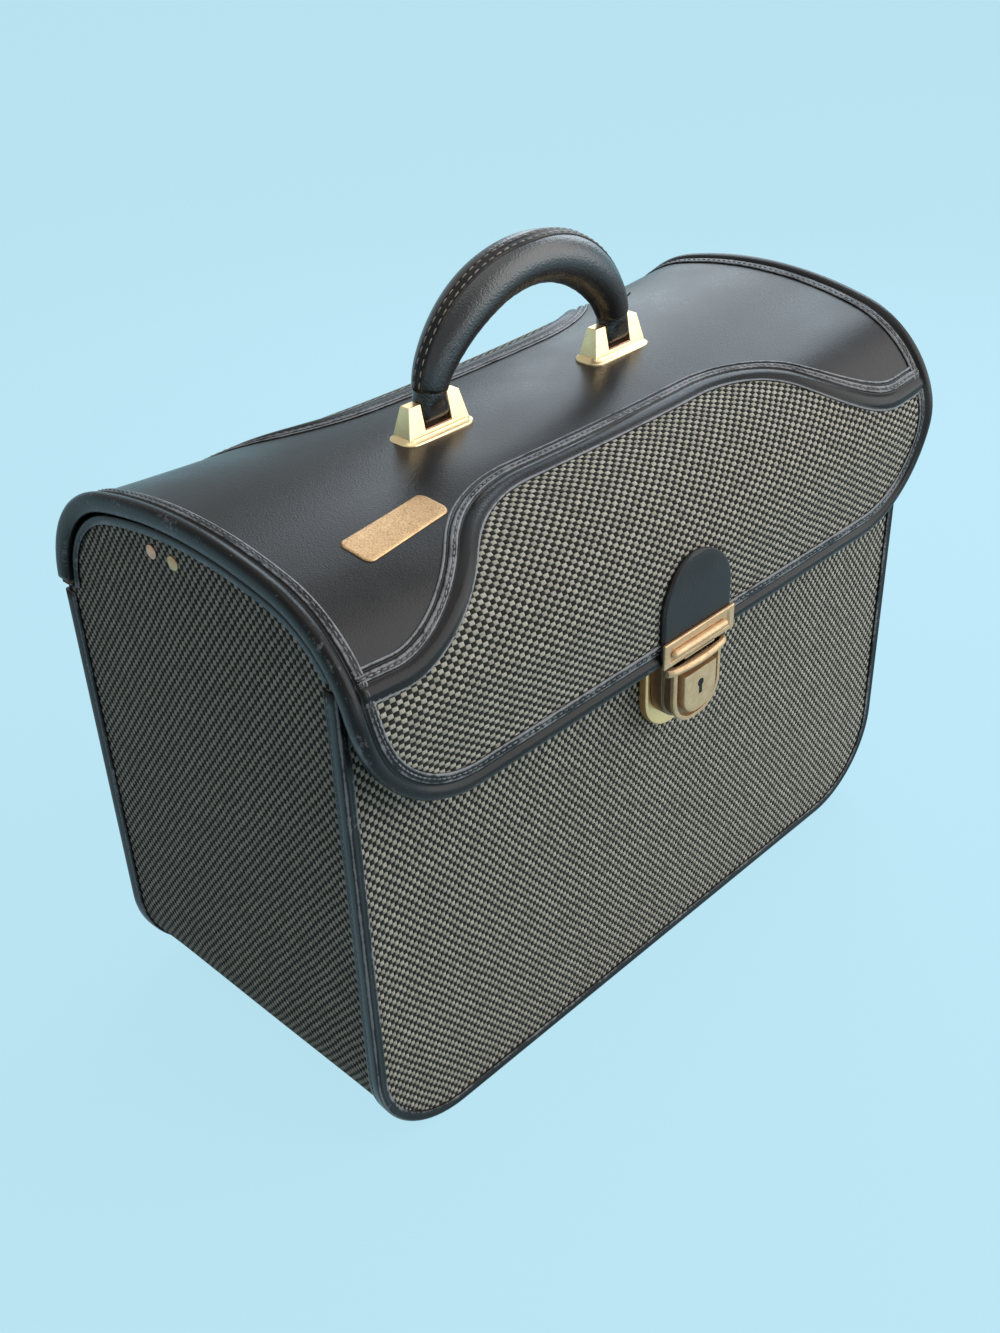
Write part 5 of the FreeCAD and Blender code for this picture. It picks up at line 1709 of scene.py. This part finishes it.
@dataclass(frozen=True)
class Lock:
    """Brass hasp on the flap, and the base plate and sliding case on the front."""

    sizes: CaseSizes
    form: LidForm
    plate_width: float = 41.0
    plate_height: float = 46.0
    plate_corner: float = 19.0
    plate_drop: float = 1.0
    plate_thickness: float = 5.5
    slide_width: float = 36.0
    slide_height: float = 36.0
    slide_corner: float = 16.0
    slide_drop: float = 2.6
    slide_depth: float = 12.5
    slide_gap: float = 0.3
    waist: float = 1.3
    rim_width: float = 3.0
    rim_rise: float = 1.1
    groove: float = 0.9
    pad_width: float = 24.0
    pad_height: float = 23.0
    pad_corner: float = 10.0
    pad_depth: float = 3.0
    pad_drop: float = 7.6
    lip_width: float = 43.0
    lip_height: float = 4.6
    lip_depth: float = 2.0
    lip_bulge: float = 2.4
    keyhole_drop: float = 15.5
    keyhole_radius: float = 2.2
    keyhole_slot: float = 1.05
    keyhole_length: float = 6.0
    hasp_width: float = 52.0
    hasp_height: float = 13.0
    hasp_thickness: float = 1.5
    tab_depth: float = 3.0
    flange_half: float = 11.0
    flange_thickness: float = 1.2
    tongue_half: float = 7.0
    tongue_thickness: float = 1.6

    def build(self) -> None:
        """Makes and dresses the lock's visible pieces."""
        settle(self.base_plate(), "body", Finishes.PLATE_BRASS, "brass", "lock_base_plate")
        settle(self.slide_wall(), "slide", Finishes.TARNISH_AND_SHADE, "brass", "lock_slide")
        settle(self.slide(), "slide", Finishes.BRASS, "brass", "lock_slide")
        settle(self.keyhole(), "slide", Finishes.KEYHOLE, "brass")
        settle(self.hasp(), "lid", Finishes.BRASS, "brass", "hasp_plate")

    @property
    def slide_top(self) -> float:
        """Height of the slide's top."""
        return self.form.flap_bottom - self.slide_drop

    @property
    def slide_back(self) -> float:
        """Y of the slide's back."""
        return self.sizes.front_face - self.plate_thickness - self.slide_gap

    @property
    def slide_front(self) -> float:
        """Y of the slide's front."""
        return self.slide_back - self.slide_depth

    @staticmethod
    def shield(width: float, height: float, corner: float, top: float) -> List[Pair]:
        """Outline with a straight top and rounded lower corners, from the top left round."""
        side, level, straight = width / 2, top - height + corner, width / 2 - corner
        outline = [(-side, top)]
        outline += [(-straight - corner * math.cos(turn), level - corner * math.sin(turn))
                    for turn in spread(0.0, math.pi / 2, 12)]
        outline += [(straight + corner * math.sin(turn), level - corner * math.cos(turn))
                    for turn in spread(0.0, math.pi / 2, 12)]
        return outline + [(side, top)]

    @staticmethod
    def stack(build: MeshBuild, outlines: List[Tuple[List[Pair], float]]) -> None:
        """Adds a solid through outlines of the same count, each at its own Y."""
        build.sweep([[Vector((x, y, z)) for x, z in outline] for outline, y in outlines])

    def base_plate(self) -> Piece:
        """Flat shield with a soft edge."""
        top = self.form.flap_bottom - self.plate_drop
        back, front = self.sizes.front_face - 0.05, self.sizes.front_face - self.plate_thickness
        build = MeshBuild()
        outline = self.shield(self.plate_width, self.plate_height, self.plate_corner, top)
        self.stack(build, [(outline, back), (outline, front)])
        piece = build.make("lock_plate")
        round_edges(piece, 1.2)
        return piece

    def slide_outline(self, inset: float) -> List[Pair]:
        """Outline of the sliding case, smaller by an inset."""
        return self.shield(self.slide_width - 2 * inset, self.slide_height - inset, self.slide_corner - inset,
                           self.slide_top)

    def slide_wall(self) -> Piece:
        """Waisted wall of the sliding case and the floor of its groove, in dark brass that paints their shade
        along with tarnish.
        """
        back, front = self.slide_back, self.slide_front
        step, floor = back - self.slide_depth / 2, front + self.groove - 0.15
        build = MeshBuild()
        rows = [(0.0, back), (0.0, step), (self.waist, step - 0.5), (self.waist, front + 2.2),
                (0.4, front + 1.4), (0.4, front + 1.0)]
        self.stack(build, [(self.slide_outline(inset), y) for inset, y in rows])
        edge = self.rim_width - 0.2
        self.stack(build, [(self.slide_outline(edge), floor + 0.6), (self.slide_outline(edge), floor)])
        piece = build.make("lock_case_wall")
        round_edges(piece, 0.3)
        return piece

    def slide(self) -> Piece:
        """Raised rim and pad of the sliding case, and its bowed thumb lip."""
        top, front = self.slide_top, self.slide_front
        rise, sunk = front - self.rim_rise, front + self.groove
        build = MeshBuild()
        rows = [(0.3, front + 1.2), (0.3, rise + 0.5), (0.8, rise), (self.rim_width - 0.4, rise),
                (self.rim_width, sunk)]
        self.stack(build, [(self.slide_outline(inset), y) for inset, y in rows])
        pad = [(0.0, sunk + 0.5), (0.0, front - self.pad_depth + 0.7), (0.25, front - self.pad_depth + 0.2),
               (0.8, front - self.pad_depth)]
        self.stack(build, [(self.shield(self.pad_width - 2 * inset, self.pad_height - inset,
                                        self.pad_corner - inset, top - self.pad_drop), y)
                           for inset, y in pad])
        side = self.lip_width / 2
        lip = []
        for x in spread(-side, side, 34):
            bow = self.lip_depth + self.lip_bulge * (1 - (x / side) ** 2)
            reach = front - bow + 1.2 * (1 - smooth_step((side - abs(x)) / 2.0))
            low = top - self.lip_height
            lip.append([Vector((x, front + 1.5, top)), Vector((x, front + 1.5, low)),
                        Vector((x, reach + 1.9, low)), Vector((x, reach + 0.5, low + 0.9)),
                        Vector((x, reach, low + 2.2)), Vector((x, reach + 0.25, top - 1.2)),
                        Vector((x, reach + 1.0, top - 0.35)), Vector((x, reach + 2.2, top))])
        build.sweep(lip)
        piece = build.make("lock_case")
        round_edges(piece, 0.3)
        return piece

    def keyhole(self) -> Piece:
        """Keyhole: a flat near-black plug, a round hole with a slot below it, whose colour paints the shade
        inside the hole.
        """
        level = self.slide_top - self.keyhole_drop
        radius, slot, drop = self.keyhole_radius, self.keyhole_slot, self.keyhole_length
        face = self.slide_front - self.pad_depth
        outline = [(radius * math.cos(turn), level + radius * math.sin(turn))
                   for turn in spread(-math.pi / 3, 4 * math.pi / 3, 22)]
        outline += [(-slot * 1.2, level - drop), (slot * 1.2, level - drop)]
        build = MeshBuild()
        self.stack(build, [(outline, face + 0.6), (outline, face - 0.04)])
        return build.make("keyhole_painted_shade", smooth=False)

    def hasp(self) -> Piece:
        """Hasp plate with a sunk panel, a long rib and the tongue."""
        low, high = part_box("hasp_plate")
        bottom = self.form.flap_bottom
        top = bottom + self.hasp_height
        back = self.form.front - self.tab_depth
        face = back - self.hasp_thickness
        half = self.hasp_width / 2
        build = MeshBuild()

        def frame_ring(inset_x: float, inset_top: float, inset_low: float) -> List[Pair]:
            """A rectangle inside the plate's outline."""
            return [(-half + inset_x, bottom + inset_low), (half - inset_x, bottom + inset_low),
                    (half - inset_x, top - inset_top), (-half + inset_x, top - inset_top)]

        rows = [(frame_ring(0.0, 0.0, 0.0), back), (frame_ring(0.0, 0.0, 0.0), face + 0.4),
                (frame_ring(0.5, 0.5, 0.4), face), (frame_ring(3.6, 1.9, 2.4), face),
                (frame_ring(4.3, 2.7, 3.0), face + 1.0)]
        self.stack(build, rows)
        rib_half, rib = half - 5.6, 2.1
        level = bottom + 5.6
        sections = []
        for x in spread_to_ends(-rib_half, rib_half, 30):
            swell = math.sqrt(max(1 - max(abs(x) - (rib_half - rib), 0.0) ** 2 / rib ** 2, 0.02))
            sections.append([Vector((x, face + 0.8 - 2.6 * swell * math.sin(turn),
                                     level + rib * swell * math.cos(turn)))
                             for turn in spread(0.0, math.pi, 11)])
        build.sweep(sections)
        tongue_back = high.y / MM - ROW_SHIFT
        tongue_low = low.z / MM
        under = bottom - 0.3
        wide, low_edge = self.flange_half, under - self.flange_thickness
        tongue_front = tongue_back - self.tongue_thickness
        for side, foot, head, ends in ((wide, low_edge, under, (face, tongue_back)),
                                       (self.tongue_half, tongue_low, under, (tongue_front, tongue_back)),
                                       (wide, low_edge, bottom + 1.0, (face, back))):
            outline = [(-side, foot), (side, foot), (side, head), (-side, head)]
            self.stack(build, [(outline, y) for y in ends])
        piece = build.make("hasp")
        round_edges(piece, 0.35, 2)
        return piece


# Hinge and plain nodes

@dataclass(frozen=True)
class Hinge:
    """Flexible strip inside the back edge, between the body and the lid."""

    sizes: CaseSizes
    form: LidForm
    bend: float = 7.0

    def build(self) -> None:
        """Makes the strip between the body and the lid."""
        low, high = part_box("hinge_strip")
        outer_lift = -self.sizes.wall_depth + self.sizes.lining
        side = high.x / MM
        runs = [self.form.run_down(side, height / MM, -1.0)
                for height in spread(low.z, high.z, 40)]
        outer, inner = ([[self.form.point(x, run, lift) for run in runs] for x in spread(-side, side, 24)]
                        for lift in (outer_lift, -self.sizes.wall_depth))
        piece = sheeted("hinge_cloth", outer, inner)
        dress(piece, Finishes.LINING)
        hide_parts("hinge_strip")
        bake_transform(piece)
        LOG.info("%s: %d points, between body and lid", piece.name, len(piece.data.vertices))


PLAIN_NODES = {
    Finishes.BOARD: ("front_board", "back_board", "left_side_board", "right_side_board", "bottom_board",
                     "lid_board"),
    Finishes.LINING: ("body_lining", "lid_lining"),
    Finishes.BINDING: ("front_top_binding",),
    Finishes.BRASS: ("lock_guide", "lock_keeper", "lock_cam", "hasp_rivets", "lock_rivets"),
    Finishes.STEEL: ("lock_backing_plate", "lock_spring", "post_backing_plates", "post_rivets",
                     "hasp_backing_plate"),
    Finishes.POST_BRASS: ("handle_pins",),
}


def dress_plain_nodes() -> None:
    """Gives the nodes that keep their own shape their finishes."""
    for finish, names in PLAIN_NODES.items():
        for name in names:
            dress(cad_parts[name], finish)
            LOG.info("%s: %s", name, finish.name.lower())


# Stage

@dataclass(frozen=True)
class Lamp:
    """A soft rectangular lamp that points at the lid, unseen by the camera."""

    name: str
    place: Tuple[float, float, float]
    size: Pair
    power: float
    colour: Tuple[float, float, float]


LAMPS = (
    Lamp("window", (1.25, -1.35, 0.95), (2.0, 2.0), 32.0, (1.0, 0.99, 0.98)),
    Lamp("low_window", (-0.25, -1.95, 0.42), (1.6, 0.35), 3.0, (1.0, 1.0, 1.0)),
    Lamp("overhead", (0.2, -0.3, 2.2), (1.8, 1.8), 9.0, (1.0, 0.99, 0.97)),
    Lamp("right_panel", (0.75, 0.37, 0.72), (0.8, 0.7), 4.8, (0.78, 0.9, 1.0)),
    Lamp("right_corner", (0.68, 0.08, 0.76), (0.34, 0.34), 1.1, (0.72, 0.88, 1.0)),
)


@dataclass(frozen=True)
class Stage:
    """Camera, floor, backdrop and light."""

    azimuth: float = -44.62
    elevation: float = 32.94
    roll: float = -2.35
    distance: float = 786.07
    target_x: float = -17.52
    target_z: float = 145.33
    focal_pixels: float = 1500.21
    picture_height: float = 1333.0
    sensor: float = 36.0
    floor_size: float = 14.0
    floor_colour: Colour = (0.36, 0.50, 0.57, 1.0)
    backdrop: Colour = (0.545, 0.86, 0.99, 1.0)
    sky: Colour = (0.52, 0.545, 0.56, 1.0)
    sky_start: float = 0.2
    backdrop_share: float = 0.86
    ambient: Colour = (0.95, 0.98, 1.0, 1.0)
    ambient_level: float = 0.24

    def build(self) -> None:
        """Makes the camera, the floor, the lamps and the world."""
        self.camera()
        self.floor()
        self.lamps()
        self.world()
        bpy.context.scene.view_settings.view_transform = "Standard"

    def camera(self) -> None:
        """Places the camera at the photograph's viewing angle."""
        turn, lift, roll = (math.radians(value) for value in (self.azimuth, self.elevation, self.roll))
        target = Vector((self.target_x, 0, self.target_z))
        away = Vector((math.sin(turn) * math.cos(lift), -math.cos(turn) * math.cos(lift), math.sin(lift)))
        place = target + away * self.distance
        right = (away * -1).cross(Vector((0, 0, 1))).normalized()
        up = away.cross(right).normalized()
        tilted_right = right * math.cos(roll) + up * math.sin(roll)
        tilted_up = up * math.cos(roll) - right * math.sin(roll)
        rotation = Matrix((tilted_right, tilted_up, away)).transposed().to_4x4()
        data = bpy.data.cameras.new("photo_view")
        data.sensor_width = self.sensor
        data.lens = self.focal_pixels / self.picture_height * self.sensor
        data.clip_end = 100.0
        view = placed("photo_view", data)
        view.matrix_world = Matrix.Translation(to_row(place)) @ rotation
        bpy.context.scene.camera = view

    def floor(self) -> None:
        """Plain pale floor under the case."""
        half = self.floor_size / 2
        mesh = bpy.data.meshes.new("floor")
        mesh.from_pydata([(-half, -half, 0), (half, -half, 0), (half, half, 0), (-half, half, 0)], [],
                         [(0, 1, 2, 3)])
        ground = placed("floor", mesh)
        paint = bpy.data.materials.new("floor_paint")
        paint.use_nodes = True
        shader = paint.node_tree.nodes["Principled BSDF"]
        tree = ShaderTree(paint.node_tree)
        tree.fill(shader, {"Base Color": self.floor_colour, "Roughness": 0.8, "Specular IOR Level": 0.1})
        glow = tree.node("ShaderNodeEmission", {"Color": self.backdrop, "Strength": 1.0})
        seen = tree.math("MULTIPLY", self.seen_directly(tree), self.backdrop_share)
        mix = tree.node("ShaderNodeMixShader", {0: seen, 1: shader.outputs[0], 2: glow.outputs[0]})
        tree.feed(paint.node_tree.nodes["Material Output"].inputs["Surface"], mix.outputs[0])
        mesh.materials.append(paint)

    @staticmethod
    def seen_directly(tree: ShaderTree) -> Socket:
        """1 for rays of the camera, of reflections and through glass, and 0 for all others."""
        path = tree.node("ShaderNodeLightPath")
        seen = tree.math("MAXIMUM", path.outputs["Is Camera Ray"], path.outputs["Is Glossy Ray"])
        return tree.math("MAXIMUM", seen, path.outputs["Is Transmission Ray"])

    @staticmethod
    def lamps() -> None:
        """Large soft lamps that point at the case."""
        aim = Vector((0, 0, 0.25))
        for plan in LAMPS:
            data = bpy.data.lights.new(plan.name, "AREA")
            data.shape = "RECTANGLE"
            data.size, data.size_y = plan.size
            data.energy = plan.power
            data.color = plan.colour
            lamp = placed(plan.name, data)
            lamp.location = plan.place
            lamp.visible_camera = False
            lamp.rotation_euler = (aim - Vector(plan.place)).to_track_quat("-Z", "Y").to_euler()

    def world(self) -> None:
        """Even light from all round, behind which the backdrop's colour shows."""
        world = bpy.data.worlds.new("soft_sky")
        world.use_nodes = True
        light = world.node_tree.nodes["Background"]
        tree = ShaderTree(world.node_tree)
        tree.fill(light, {"Color": self.ambient, "Strength": self.ambient_level})
        way = tree.node("ShaderNodeSeparateXYZ", {0: tree.node("ShaderNodeTexCoord").outputs["Generated"]})
        tone = tree.blend(tree.between(way.outputs["Z"], 0.0, self.sky_start), self.backdrop, self.sky)
        shown = tree.node("ShaderNodeBackground", {"Color": tone, "Strength": 1.0})
        mix = tree.node("ShaderNodeMixShader", {0: self.seen_directly(tree), 1: light.outputs[0],
                                                2: shown.outputs[0]})
        tree.feed(world.node_tree.nodes["World Output"].inputs["Surface"], mix.outputs[0])
        bpy.context.scene.world = world


def main() -> None:
    """Builds every sub-assembly in order."""
    logging.basicConfig(level=logging.INFO, format="%(message)s")
    form = LidForm(SIZES)
    Body(SIZES, form).build()
    Lid(SIZES, form).build()
    Handle(form).build()
    Lock(SIZES, form).build()
    Hinge(SIZES, form).build()
    dress_plain_nodes()
    Stage().build()


if __name__ == "__main__":
    main()
